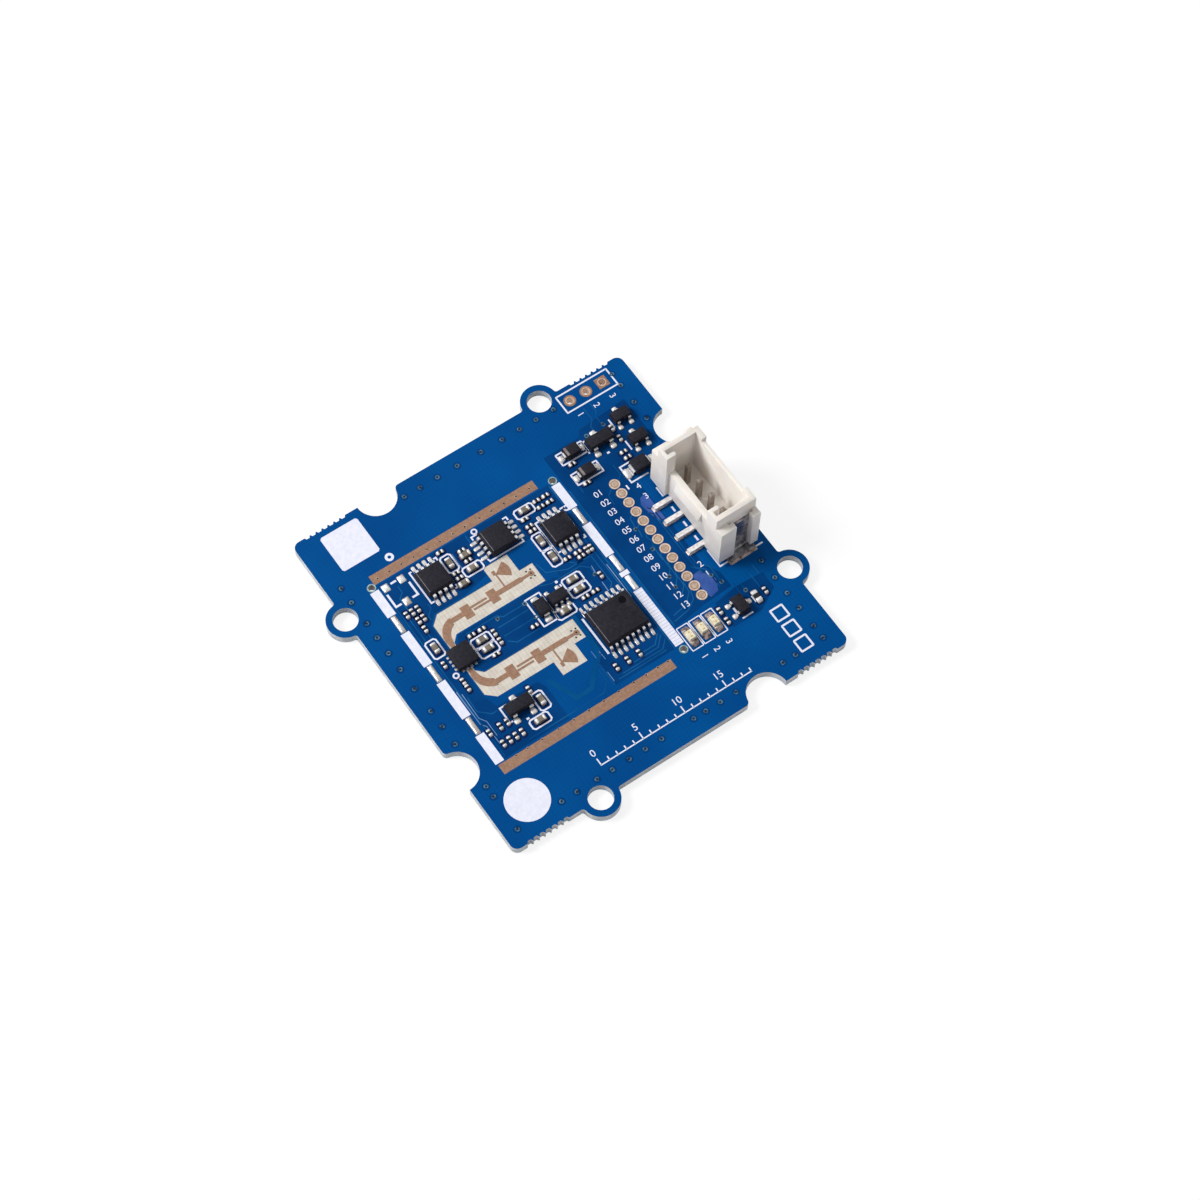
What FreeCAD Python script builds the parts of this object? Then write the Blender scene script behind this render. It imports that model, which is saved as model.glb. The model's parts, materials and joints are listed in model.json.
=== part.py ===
import FreeCAD, Part
import math
import os

# Millimetres. The origin is the middle of the board's back face, and +Z points out of the component side.

Vector = FreeCAD.Vector
UP = Vector(0, 0, 1)

# Board
board_side = 40.0
board_thickness = 1.0
board_corner_radius = 0.8
mask_opening_depth = 0.05
copper_thickness = 0.04
pad_thickness = 0.04

# Ears on the board's sides, and the notches that clear the ears of a neighbouring board
ear_offset = 10.0
ear_radius = 2.0
ear_hole_radius = 1.3
ear_root_fillet = 0.3
notch_clearance = 0.2
notch_lead_in = 0.5

# Rows of small bites where the board was broken out of its panel
bite_row_offset = 16.1
bite_pitch = 0.7
bite_count = 7
bite_mouth = 0.62
bite_bottom = 0.34
bite_depth = 0.22

# Bare copper rails above and below the radar section, whose ends are measured from the marking bars
rail_left_inset = 0.43
rail_right_inset = 1.7
rail_inner = 11.6
rail_outer = 12.75

# Marking bars beside the radar section, broken up by bare solder
left_bar_x = -15.98
right_bar_x = 5.85
bar_width = 0.98
bar_thickness = 0.03
bar_gap = 0.04
solder_width = 0.7
solder_height = 0.2
left_bar_breaks = [(11.0, 7.75), (5.45, 1.2), (-1.03, -5.6), (-7.87, -11.45)]
right_bar_breaks = [(11.0, 7.75), (5.48, 1.23), (-1.0, -1.53), (-3.5, -10.85)]
solder_slope = 0.16
anchor_hole_radius = 0.36
anchor_hole_y = 11.5

# Feed lines: a filter of two coupled strips between square stubs, with a fan stub
feed_x = -1.87
feed_line_y = 4.0
feed_pad_length = 0.3
thin_line_width = 0.3
wide_line_width = 0.52
stub_side_x = 0.95
stub_side_y = 1.5
coupled_width = 0.2
coupled_gap = 0.2
right_stub_x = -5.95
left_stub_x = -9.05
thin_line_end_x = -3.0
taper_start_x = -11.4
taper_end_y = 2.0
taper_end_left = 0.4
taper_end_right = 0.2
taper_foot_left = 0.28
taper_foot_right = 0.04
fan_stem_x = -4.88
fan_stem_width = 0.16
fan_apex_y = 5.85
fan_radius = 1.58
fan_half_angle = 36.0
fan_heel = 0.5

# Patch antennas on the back
patch_side = 3.3
patch_pitch = 7.0
patch_count = 4
patch_line_width = 0.6

# Radar chip
radar_x = -12.7
radar_side = 2.4
radar_height = 0.73
radar_pad_pitch = 0.5
radar_pad_length = 0.5
radar_pad_width = 0.25
radar_pad_reach = 0.2
radar_middle_pad = 1.2
chip_clearance = 0.1

# Spare solder on three bare pads
spare_pad_width = 0.85
spare_pad_length = 0.98
spare_pad_height = 0.15
spare_pad_places = [(-14.8, 10.7), (-12.95, 10.7), (-13.85, 8.3)]

# Moulded packages: body sizes are length, width and height, and leads are width, thickness, reach and foot
lead_pitch = 0.65
package_standoff = 0.1
chip_inset = 0.2
small_inset = 0.06
dimple_depth = 0.05
amplifier_body = (3.0, 3.0, 1.05)
amplifier_lead = (0.32, 0.16, 0.95, 0.5)
left_amplifier_place = (-10.4, 8.65, 0)
middle_amplifier_place = (-2.6, 8.95, 90)
right_amplifier_place = (3.2, 6.35, 0)
amplifier_dimple = (0.94, 0.91, 0.27)
controller_body = (5.0, 4.4, 1.1)
controller_lead = (0.26, 0.16, 1.0, 0.55)
controller_place = (2.15, -5.25, 0)
controller_dimple = (1.5, 1.25, 0.4)
regulator_body = (2.9, 1.35, 1.05)
regulator_lead = (0.45, 0.15, 0.55, 0.33)
regulator_lead_offset = 0.95
lower_regulator_place = (-11.15, -7.6, 0)
upper_regulator_place = (12.4, 12.6, 0)
transistor_body = (2.0, 1.25, 0.95)
transistor_lead = (0.32, 0.13, 0.45, 0.26)
transistor_places = [(15.85, 13.8, 0), (15.85, 10.7, 0), (13.25, -10.8, -90)]
switch_lead = (0.24, 0.13, 0.42, 0.24)
switch_place = (-1.3, 0.1, 0)

# Diodes, with one lead at each end
small_diode_body = (1.25, 1.7, 1.0)
small_diode_lead = (0.6, 0.13, 0.45, 0.26)
small_diode_places = [(-3.3, 0.0, 0), (9.25, 13.05, 90), (9.25, 10.3, 90)]
large_diode_body = (1.55, 1.8, 1.1)
large_diode_lead = (1.0, 0.15, 0.75, 0.5)
large_diode_place = (14.15, 7.9, 90)

# Capacitors, first those that stand along Y and then those that lie along X
capacitor_length = 1.05
capacitor_width = 0.55
capacitor_height = 0.5
capacitor_cap = 0.25
upright_capacitors = [(-14.45, 2.3), (-8.05, 9.42), (0.92, 6.4), (0.92, 4.25), (-8.95, -8.2)]
flat_capacitors = [
    (-10.1, 0.45),
    (-10.1, -0.65),
    (1.1, 1.0),
    (1.1, -0.25),
    (-1.4, -1.5),
    (-10.2, -9.95),
    (-6.42, 7.66),
    (1.52, 10.22),
    (-8.1, 6.7),
    (-6.22, 9.32),
]

# Chip resistors, and a larger one beside the lowest transistor
resistor_length = 0.62
resistor_width = 0.32
resistor_height = 0.24
large_resistor_length = 1.15
large_resistor_width = 0.56
large_resistor_height = 0.36
large_resistor_place = (15.24, -10.84)

# Resistors that stand along Y: the x of each in a row, and the row's y
upright_resistor_rows = [
    ([-14.75, -14.1, -13.45], 6.95),
    ([-14.1, -13.5], 5.8),
    ([-14.1], 4.65),
    ([-14.7], 0.3),
    ([-8.65], 0.5),
    ([-8.65], -0.6),
    ([-14.15], -2.25),
    ([-14.15], -3.1),
    ([-9.3], -6.6),
    ([-15.1], -8.3),
    ([-13.85, -13.0], -8.3),
    ([-14.6, -13.86, -13.12, -12.38], -10.0),
    ([4.2, 4.67], 3.0),
    ([3.75], -0.1),
    ([-0.8, 0.58, 1.96], -9.4),
    ([14.35], 13.2),
    ([14.35], 11.75),
    ([11.25], -10.1),
    ([11.25], -11.4),
    ([16.35], -10.75),
]

# Resistors that lie along X, in the same form
flat_resistor_rows = [
    ([-10.65, -9.45], 1.5),
    ([-9.8], -1.6),
    ([-4.9], -1.15),
    ([1.1, 2.3], -1.3),
    ([1.0], 9.35),
    ([0.95], 8.45),
    ([0.95], 7.85),
    ([2.05, 3.3], 3.28),
    ([3.35], 2.7),
    ([8.6], 11.95),
    ([8.6], 9.3),
    ([13.75], 10.2),
    ([13.75], 9.45),
    ([-8.15], 11.0),
    ([-8.1], 8.15),
    ([-8.1], 7.5),
    ([-6.25], 9.95),
    ([-6.3], 8.65),
    ([3.15, 4.25], 10.45),
    ([3.15, 4.25], 9.65),
]

# Status lights
light_count = 3
light_pitch = 1.47
light_middle_x = 8.62
light_y = -10.75
light_length = 1.6
light_width = 0.8
light_base_height = 0.25
light_lens_length = 1.1
light_lens_height = 0.38
light_lens_inset = 0.06

# Test pads and header holes
test_pad_distance = 5.6
test_pad_first_y = 7.65
test_pad_pitch = 1.27
test_pad_count = 13
test_pad_radius = 0.58
header_pitch = 2.0
header_count = 3
header_x = 14.65
header_edge_distance = 1.7
header_hole_radius = 0.42

# Connector housing
housing_edge_distance = 3.55
housing_width = 4.8
housing_length = 10.0
housing_height = 8.0
housing_standoff = 0.7
housing_floor = 1.1
end_wall = 0.55
back_wall = 0.6
back_step_height = 0.5
back_step_depth = 0.2
window_half_length = 3.45
post_thickness = 0.45
post_reach = 1.15
front_wall = 0.35
low_wall_inset = 0.4
low_wall_thickness = 0.7
low_wall_height = 4.9
latch_reach = 0.42
latch_drop = 1.25
latch_half_length = 2.1
end_rib_depth = 0.95
end_rib_height = 6.4
end_rib_front = 1.85
end_rib_back = 0.95

# Connector contacts and solder anchors
contact_pitch = 2.0
contact_count = 4
contact_size = 0.5
contact_tip_height = 5.25
contact_tip_inset = 0.12
contact_foot_reach = 4.0
anchor_thickness = 0.3
anchor_height = 5.6
anchor_slot_overlap = 0.5
anchor_foot_length = 1.15
anchor_bend = 0.15

board_half = board_side / 2
board_top = board_thickness
rail_left = left_bar_x + rail_left_inset
rail_right = right_bar_x - rail_right_inset
notch_radius = ear_radius + notch_clearance
recess_floor = board_top - mask_opening_depth
housing_middle_x = board_half - housing_edge_distance
housing_front = housing_middle_x - housing_width / 2
housing_back = housing_middle_x + housing_width / 2
test_pad_x = housing_middle_x - test_pad_distance


def block(x, y, z, length, width, height):
    """Box whose bottom face is centred on (x, y, z)."""
    return Part.makeBox(length, width, height, Vector(x - length / 2, y - width / 2, z))


def span(x0, x1, y0, y1, z0, z1):
    """Box between two corners, given in any order."""
    low = Vector(min(x0, x1), min(y0, y1), min(z0, z1))
    return Part.makeBox(abs(x1 - x0), abs(y1 - y0), abs(z1 - z0), low)


def disc(x, y, z, radius, height):
    return Part.makeCylinder(radius, height, Vector(x, y, z))


def frustum(length, width, z, height, inset):
    """Block on the Z axis whose top is smaller by inset on each side, or larger where inset is negative."""
    half_x = length / 2
    half_y = width / 2
    top_x = half_x - inset
    top_y = half_y - inset
    lying = Part.makeWedge(-half_x, 0, -half_y, -top_y, -top_x, half_x, height, half_y, top_y, top_x)
    lying.rotate(Vector(0, 0, 0), Vector(1, 0, 0), 90)
    lying.translate(Vector(0, 0, z))
    return lying


def prism(outline, z, height):
    """Straight-sided plate over a closed outline of (x, y) points."""
    corners = [Vector(x, y, z) for x, y in outline]
    face = Part.Face(Part.makePolygon(corners + corners[:1]))
    return face.extrude(Vector(0, 0, height))


def fused(shapes):
    joined = shapes[0].multiFuse(shapes[1:]) if len(shapes) > 1 else shapes[0]
    return joined.removeSplitter()


def turned(shape, degrees, x=0.0, y=0.0, z=0.0):
    """Copy of a shape, turned about its own origin and then carried to (x, y, z)."""
    copy = shape.copy()
    copy.rotate(Vector(0, 0, 0), UP, degrees)
    copy.translate(Vector(x, y, z))
    return copy


def mirrored_y(shape):
    return shape.mirror(Vector(0, 0, 0), Vector(0, 1, 0))


def upright_edges(shape, spots):
    """Edges along Z that stand on the given (x, y) spots."""
    found = []
    for edge in shape.Edges:
        start = edge.Vertexes[0].Point
        end = edge.Vertexes[-1].Point
        upright = math.hypot(end.x - start.x, end.y - start.y) < 1e-6 and abs(end.z - start.z) > 1e-6
        if upright and any(math.hypot(start.x - x, start.y - y) < 1e-4 for x, y in spots):
            found.append(edge)
    return found


def quarter_turns(x, y):
    """The spot (x, y) and its three copies, each a quarter turn further round the board's middle."""
    return [(x, y), (-y, x), (-x, -y), (y, -x)]


def even_row(count, pitch):
    return [(place - (count - 1) / 2) * pitch for place in range(count)]


def save(node, shapes):
    solids = [solid for shape in shapes for solid in shape.Solids]
    shape = solids[0] if len(solids) == 1 else Part.makeCompound(solids)
    shape.exportStep("parts/" + node + ".step")


# Board outline


def board_plate():
    plate = block(0, 0, 0, board_side, board_side, board_thickness)
    corners = quarter_turns(board_half, board_half)
    plate = plate.makeFillet(board_corner_radius, upright_edges(plate, corners))

    ear_middles = quarter_turns(ear_offset, board_half)
    ears = [disc(x, y, 0, ear_radius, board_thickness) for x, y in ear_middles]
    plate = fused([plate] + ears)
    roots = [spot for side in (-1, 1) for spot in quarter_turns(ear_offset + side * ear_radius, board_half)]
    plate = plate.makeFillet(ear_root_fillet, upright_edges(plate, roots))

    notch_middles = quarter_turns(-ear_offset, board_half)
    notches = [disc(x, y, 0, notch_radius, board_thickness) for x, y in notch_middles]
    plate = plate.cut(notches)
    lead_ins = quarter_turns(notch_radius - ear_offset, board_half)
    plate = plate.makeFillet(notch_lead_in, upright_edges(plate, lead_ins))

    holes = [disc(x, y, 0, ear_hole_radius, board_thickness) for x, y in ear_middles]
    holes += [disc(x, y, 0, anchor_hole_radius, board_thickness) for x, y in anchor_hole_spots()]
    holes += [disc(x, y, 0, header_hole_radius, board_thickness) for x, y in header_spots()]
    return plate.cut(holes + panel_bites())


def panel_bites():
    bites = []
    for edge in (-1, 1):
        outer = edge * board_half
        inner = edge * (board_half - bite_depth)
        for middle in (-bite_row_offset, bite_row_offset):
            for offset_x in even_row(bite_count, bite_pitch):
                x = middle + offset_x
                outline = [
                    (x - bite_mouth / 2, outer),
                    (x - bite_bottom / 2, inner),
                    (x + bite_bottom / 2, inner),
                    (x + bite_mouth / 2, outer),
                ]
                bites.append(prism(outline, 0, board_thickness))
    return bites


# Mask openings and the copper in them


def window_outline():
    """Bare substrate round the upper feed line, from chip to via, with a bay for the fan stub."""
    chip_edge = radar_side / 2 + chip_clearance
    top = feed_line_y + 1.45
    bottom = feed_line_y - 1.5
    bay_top = fan_apex_y + 1.3
    bay_left = fan_stem_x - 0.72
    bay_right = fan_stem_x + 2.18
    right = feed_x + 0.72
    return [
        (radar_x - 0.5, chip_edge),
        (radar_x - 0.5, top - 0.9),
        (radar_x + 0.5, top),
        (bay_left, top),
        (bay_left, bay_top),
        (bay_right, bay_top),
        (bay_right, feed_line_y + 0.92),
        (right, feed_line_y + 0.92),
        (right, bottom),
        (radar_x + 0.9, bottom),
        (radar_x + taper_end_right, bottom - 0.7),
        (radar_x + taper_end_right, chip_edge),
    ]


def mask_openings():
    windows = prism(window_outline(), recess_floor, mask_opening_depth)
    rails = rail(recess_floor, mask_opening_depth)
    return [windows, mirrored_y(windows), rails, mirrored_y(rails)]


def rail(z, height):
    return span(rail_left, rail_right, rail_inner, rail_outer, z, z + height)


def line_along_x(x0, x1, y, width):
    return span(x0, x1, y - width / 2, y + width / 2, recess_floor, recess_floor + copper_thickness)


def fan_stub():
    """Sector that opens towards +X, on a thin stem, with a small heel behind its apex."""
    z = recess_floor
    stem_left = fan_stem_x - fan_stem_width / 2
    sector = Part.makeCylinder(
        fan_radius, copper_thickness, Vector(fan_stem_x, fan_apex_y, z), UP, 2 * fan_half_angle
    )
    sector.rotate(Vector(fan_stem_x, fan_apex_y, z), UP, -fan_half_angle)
    heel_left = stem_left - fan_stem_width
    stem_right = stem_left + fan_stem_width
    stem = span(stem_left, stem_right, feed_line_y, fan_apex_y, z, z + copper_thickness)
    heel = span(heel_left, stem_right, fan_apex_y, fan_apex_y + fan_heel, z, z + copper_thickness)
    return [sector, stem, heel]


def curved_taper():
    """The line's last stretch, which curves down to the radar chip and narrows."""
    z = recess_floor
    chip_edge = radar_side / 2 + chip_clearance
    outer_start = Vector(taper_start_x, feed_line_y + 0.4, z)
    outer_middle = Vector(radar_x - 0.08, feed_line_y - 0.45, z)
    outer_end = Vector(radar_x - taper_end_left, taper_end_y, z)
    foot_left = Vector(radar_x - taper_foot_left, chip_edge, z)
    foot_right = Vector(radar_x + taper_foot_right, chip_edge, z)
    inner_end = Vector(radar_x + taper_end_right, taper_end_y, z)
    inner_middle = Vector(radar_x + 0.56, feed_line_y - 1.02, z)
    inner_start = Vector(taper_start_x, feed_line_y - 0.45, z)
    edges = [
        Part.Arc(outer_start, outer_middle, outer_end).toShape(),
        Part.makeLine(outer_end, foot_left),
        Part.makeLine(foot_left, foot_right),
        Part.makeLine(foot_right, inner_end),
        Part.Arc(inner_end, inner_middle, inner_start).toShape(),
        Part.makeLine(inner_start, outer_start),
    ]
    return Part.Face(Part.Wire(edges)).extrude(Vector(0, 0, copper_thickness))


def square_stub(right_x):
    return line_along_x(right_x - stub_side_x, right_x, feed_line_y, stub_side_y)


def feed_line():
    """Upper feed line: the half that ends at the via, and the half that ends at the radar chip."""
    strip_offset = (coupled_width + coupled_gap) / 2
    lower_strip_y = feed_line_y - strip_offset
    upper_strip_y = feed_line_y + strip_offset
    right_stub_left = right_stub_x - stub_side_x
    via_half = fused(
        [
            line_along_x(thin_line_end_x, feed_x + feed_pad_length, feed_line_y, thin_line_width),
            line_along_x(right_stub_x, thin_line_end_x, feed_line_y, wide_line_width),
            square_stub(right_stub_x),
            line_along_x(left_stub_x + coupled_gap, right_stub_left, lower_strip_y, coupled_width),
        ]
        + fan_stub()
    )
    chip_half = fused(
        [
            line_along_x(left_stub_x, right_stub_left - coupled_gap, upper_strip_y, coupled_width),
            square_stub(left_stub_x),
            line_along_x(taper_start_x, left_stub_x - stub_side_x, feed_line_y, wide_line_width),
            curved_taper(),
        ]
    )
    return [via_half, chip_half]


def antenna():
    """Row of patches on the back, fed in series from the via at the row's middle."""
    first_x = feed_x - patch_pitch * (patch_count - 1) / 2
    patches = [
        block(first_x + place * patch_pitch, feed_line_y, 0, patch_side, patch_side, mask_opening_depth)
        for place in range(patch_count)
    ]
    row_length = patch_pitch * (patch_count - 1)
    line = block(feed_x, feed_line_y, 0, row_length, patch_line_width, mask_opening_depth)
    return fused(patches + [line])


# Plated holes through the board


def anchor_hole_spots():
    return [(left_bar_x, anchor_hole_y), (right_bar_x, anchor_hole_y), (right_bar_x, -anchor_hole_y)]


def header_spots():
    y = board_half - header_edge_distance
    return [(header_x + offset_x, y) for offset_x in even_row(header_count, header_pitch)]


def circuit_board():
    back = antenna()
    return board_plate().cut(mask_openings() + [back, mirrored_y(back)])


# Marking bars and the solder between them


def marking_bars():
    bars = []
    for x, breaks in ((left_bar_x, left_bar_breaks), (right_bar_x, right_bar_breaks)):
        for top, bottom in breaks:
            bars.append(block(x, (top + bottom) / 2, board_top, bar_width, top - bottom, bar_thickness))
    return bars


def solder_mound(x, y, length, width, height):
    """Solder that has set on a pad, with sloping sides."""
    return turned(frustum(length, width, board_top, height, solder_slope), 0, x, y)


def solder_beads():
    beads = []
    for x, breaks in ((left_bar_x, left_bar_breaks), (right_bar_x, right_bar_breaks)):
        for (_, bar_bottom), (next_top, _) in zip(breaks, breaks[1:]):
            middle_y = (bar_bottom + next_top) / 2
            length = bar_bottom - next_top - 2 * bar_gap
            beads.append(solder_mound(x, middle_y, solder_width, length, solder_height))
    return beads


# Chips and other moulded packages


def moulded_body(length, width, height, lead_thickness, inset):
    """Body that is widest in a band as thick as its leads, and drawn in above and below it."""
    lower_height = (height - package_standoff - lead_thickness) / 2
    band = package_standoff + lower_height
    upper = band + lead_thickness
    lower = frustum(length - 2 * inset, width - 2 * inset, package_standoff, lower_height, -inset)
    middle = block(0, 0, band, length, width, lead_thickness)
    return fused([lower, middle, frustum(length, width, upper, height - upper, inset)])


def gull_lead(width, thickness, height, reach, foot):
    """Lead along +Y that leaves the body in its band at y = 0 and folds down to a foot."""
    band = (package_standoff + height - thickness) / 2
    heel = reach - foot
    shoulder = max(heel / 2, thickness * 1.2)
    profile = [
        (0, band),
        (shoulder - thickness, band),
        (heel - thickness, 0),
        (reach, 0),
        (reach, thickness),
        (heel, thickness),
        (shoulder, band + thickness),
        (0, band + thickness),
    ]
    corners = [Vector(-width / 2, y, z) for y, z in profile]
    face = Part.Face(Part.makePolygon(corners + corners[:1]))
    return face.extrude(Vector(width, 0, 0))


def package(place, size, lead, leads_above, leads_below, inset, dimple=None):
    """Body and leads of a moulded package. Its leads stand at the given offsets along its two long sides."""
    x, y, degrees = place
    length, width, height = size
    lead_width, thickness, reach, foot = lead
    body = moulded_body(length, width, height, thickness, inset)
    if dimple:
        offset_x, offset_y, radius = dimple
        body = body.cut(disc(offset_x, offset_y, height - dimple_depth, radius, dimple_depth))
    strip = gull_lead(lead_width, thickness, height, reach, foot)
    leads = [turned(strip, 0, offset_x, width / 2) for offset_x in leads_above]
    leads += [turned(strip, 180, offset_x, -width / 2) for offset_x in leads_below]
    carried = [turned(shape, degrees, x, y, board_top) for shape in [body] + leads]
    return carried[:1], carried[1:]


def save_package(name, parts):
    body, leads = parts
    save(name + "_body", body)
    save(name + "_leads", leads)


def save_chips():
    four = even_row(4, lead_pitch)
    eight = even_row(8, lead_pitch)
    amplifiers = [
        ("left_amplifier", left_amplifier_place, None),
        ("middle_amplifier", middle_amplifier_place, None),
        ("right_amplifier", right_amplifier_place, amplifier_dimple),
    ]
    for name, place, dimple in amplifiers:
        save_package(name, package(place, amplifier_body, amplifier_lead, four, four, chip_inset, dimple))
    controller = package(
        controller_place, controller_body, controller_lead, eight, eight, chip_inset, controller_dimple
    )
    save_package("controller", controller)


def save_transistors():
    regulators = [("lower_regulator", lower_regulator_place), ("upper_regulator", upper_regulator_place)]
    pair = [-regulator_lead_offset, regulator_lead_offset]
    for name, place in regulators:
        save_package(name, package(place, regulator_body, regulator_lead, [0], pair, small_inset))

    pair = [-lead_pitch, lead_pitch]
    for number, place in enumerate(transistor_places, start=1):
        parts = package(place, transistor_body, transistor_lead, [0], pair, small_inset)
        save_package("transistor_%d" % number, parts)

    three = even_row(3, lead_pitch)
    save_package("switch_chip", package(switch_place, transistor_body, switch_lead, pair, three, small_inset))


def save_diodes():
    diodes = [(place, small_diode_body, small_diode_lead) for place in small_diode_places]
    diodes.append((large_diode_place, large_diode_body, large_diode_lead))
    all_leads = []
    for number, (place, size, lead) in enumerate(diodes, start=1):
        body, leads = package(place, size, lead, [0], [0], small_inset)
        save("diode_%d_body" % number, body)
        all_leads += leads
    save("diode_leads", all_leads)


def save_radar_chip():
    body = block(radar_x, 0, board_top + pad_thickness, radar_side, radar_side, radar_height)
    row = even_row(4, radar_pad_pitch)
    middle = radar_side / 2 + radar_pad_reach - radar_pad_length / 2
    pads = [block(radar_x, 0, board_top, radar_middle_pad, radar_middle_pad, pad_thickness)]
    for side in (-1, 1):
        for offset in row:
            along = (radar_x + offset, side * middle, radar_pad_width, radar_pad_length)
            across = (radar_x + side * middle, offset, radar_pad_length, radar_pad_width)
            for x, y, length, width in (along, across):
                pads.append(block(x, y, board_top, length, width, pad_thickness))
    save("radar_chip", [body])
    save("radar_chip_pads", pads)


# Capacitors and resistors


def save_capacitors():
    """Ceramic blocks with a metal cap on each end."""
    middle_length = capacitor_length - 2 * capacitor_cap
    middle = block(0, 0, board_top, middle_length, capacitor_width, capacitor_height)
    cap_x = (capacitor_length - capacitor_cap) / 2
    caps = [block(x, 0, board_top, capacitor_cap, capacitor_width, capacitor_height) for x in (-cap_x, cap_x)]
    places = [(x, y, 90) for x, y in upright_capacitors] + [(x, y, 0) for x, y in flat_capacitors]
    save("capacitor_bodies", [turned(middle, degrees, x, y) for x, y, degrees in places])
    save("capacitor_ends", [turned(cap, degrees, x, y) for x, y, degrees in places for cap in caps])


def save_resistors():
    small = block(0, 0, board_top, resistor_length, resistor_width, resistor_height)
    large = block(0, 0, board_top, large_resistor_length, large_resistor_width, large_resistor_height)
    resistors = [turned(large, 90, *large_resistor_place)]
    for rows, degrees in ((upright_resistor_rows, 90), (flat_resistor_rows, 0)):
        for row, y in rows:
            resistors += [turned(small, degrees, x, y) for x in row]
    save("resistors", resistors)


# Status lights


def save_lights():
    pads = []
    cap = (light_length - light_lens_length) / 2
    pad_y = (light_length - cap) / 2
    base_z = board_top + pad_thickness
    base = block(0, 0, base_z, light_width, light_length, light_base_height)
    lens = frustum(
        light_width, light_lens_length, base_z + light_base_height, light_lens_height, light_lens_inset
    )
    for number, offset_x in enumerate(even_row(light_count, light_pitch), start=1):
        x = light_middle_x + offset_x
        for side in (-1, 1):
            pads.append(block(x, light_y + side * pad_y, board_top, light_width, cap * 2, pad_thickness))
        save("status_light_%d_base" % number, [turned(base, 0, x, light_y)])
        save("status_light_%d_lens" % number, [turned(lens, 0, x, light_y)])
    save("status_light_pads", pads)


# Connector


def end_rib(side):
    """Two ribs at one end of the housing, with a slot behind their lips for the solder anchor."""
    inner = side * housing_length / 2
    outer = inner + side * end_rib_depth
    opening_front = housing_front + end_rib_front
    opening_back = housing_back - end_rib_back
    slot_front, slot_back = anchor_slot()
    slot_outer = inner + side * anchor_thickness
    ribs = span(housing_front, housing_back, inner, outer, housing_standoff, end_rib_height)
    opening = span(opening_front, opening_back, inner, outer, housing_standoff, end_rib_height)
    slot = span(slot_front, slot_back, inner, slot_outer, housing_standoff, end_rib_height)
    return ribs.cut([opening, slot])


def anchor_slot():
    """Where the anchor's two long edges stand, behind the lips of the ribs."""
    front = housing_front + end_rib_front - anchor_slot_overlap
    back = housing_back - end_rib_back + anchor_slot_overlap
    return front, back


def post(side):
    """Post beside the housing's window: it stands full height and ends in a rounded nose."""
    inner_y = side * window_half_length
    outer_y = inner_y + side * post_thickness
    nose_radius = post_thickness / 2
    nose_x = housing_front + post_reach - nose_radius
    height = housing_height - housing_standoff
    straight = span(housing_front, nose_x, inner_y, outer_y, housing_standoff, housing_height)
    nose = disc(nose_x, (inner_y + outer_y) / 2, housing_standoff, nose_radius, height)
    return [straight, nose]


def latch():
    """Ramp on the outside of the low wall, widest at its foot, that a plug's hook rides over."""
    face_x = housing_front + low_wall_inset
    foot_z = low_wall_height - latch_drop
    profile = [(face_x, low_wall_height), (face_x - latch_reach, foot_z), (face_x, foot_z)]
    corners = [Vector(x, -latch_half_length, z) for x, z in profile]
    face = Part.Face(Part.makePolygon(corners + corners[:1]))
    return face.extrude(Vector(0, 2 * latch_half_length, 0))


def connector_housing():
    half = housing_length / 2
    cavity_half = half - end_wall
    window_half = window_half_length
    floor_top = housing_standoff + housing_floor
    top = housing_height
    inner_front = housing_front + front_wall
    inner_back = housing_back - back_wall
    low_front = housing_front + low_wall_inset
    low_back = low_front + low_wall_thickness
    step_z = top - back_step_height
    step_x = housing_back - back_step_depth

    shell = span(housing_front, housing_back, -half, half, housing_standoff, top)
    cavity = span(inner_front, inner_back, -cavity_half, cavity_half, floor_top, top)
    window = span(housing_front, inner_front, -window_half, window_half, floor_top, top)
    undercut = span(housing_front, low_front, -window_half, window_half, housing_standoff, top)
    step_top = span(inner_back, housing_back, -window_half, window_half, step_z, top)
    step_side = span(step_x, housing_back, -window_half, window_half, housing_standoff, top)
    shell = shell.cut([cavity, window, undercut, step_top, step_side])

    low_wall = span(low_front, low_back, -window_half, window_half, housing_standoff, low_wall_height)
    pieces = [shell, low_wall, latch()]
    for side in (-1, 1):
        pieces += post(side) + [end_rib(side)]
    passages = [
        block(housing_middle_x, y, housing_standoff, contact_size, contact_size, housing_floor)
        for y in even_row(contact_count, contact_pitch)
    ]
    return fused(pieces).cut(passages)


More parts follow.
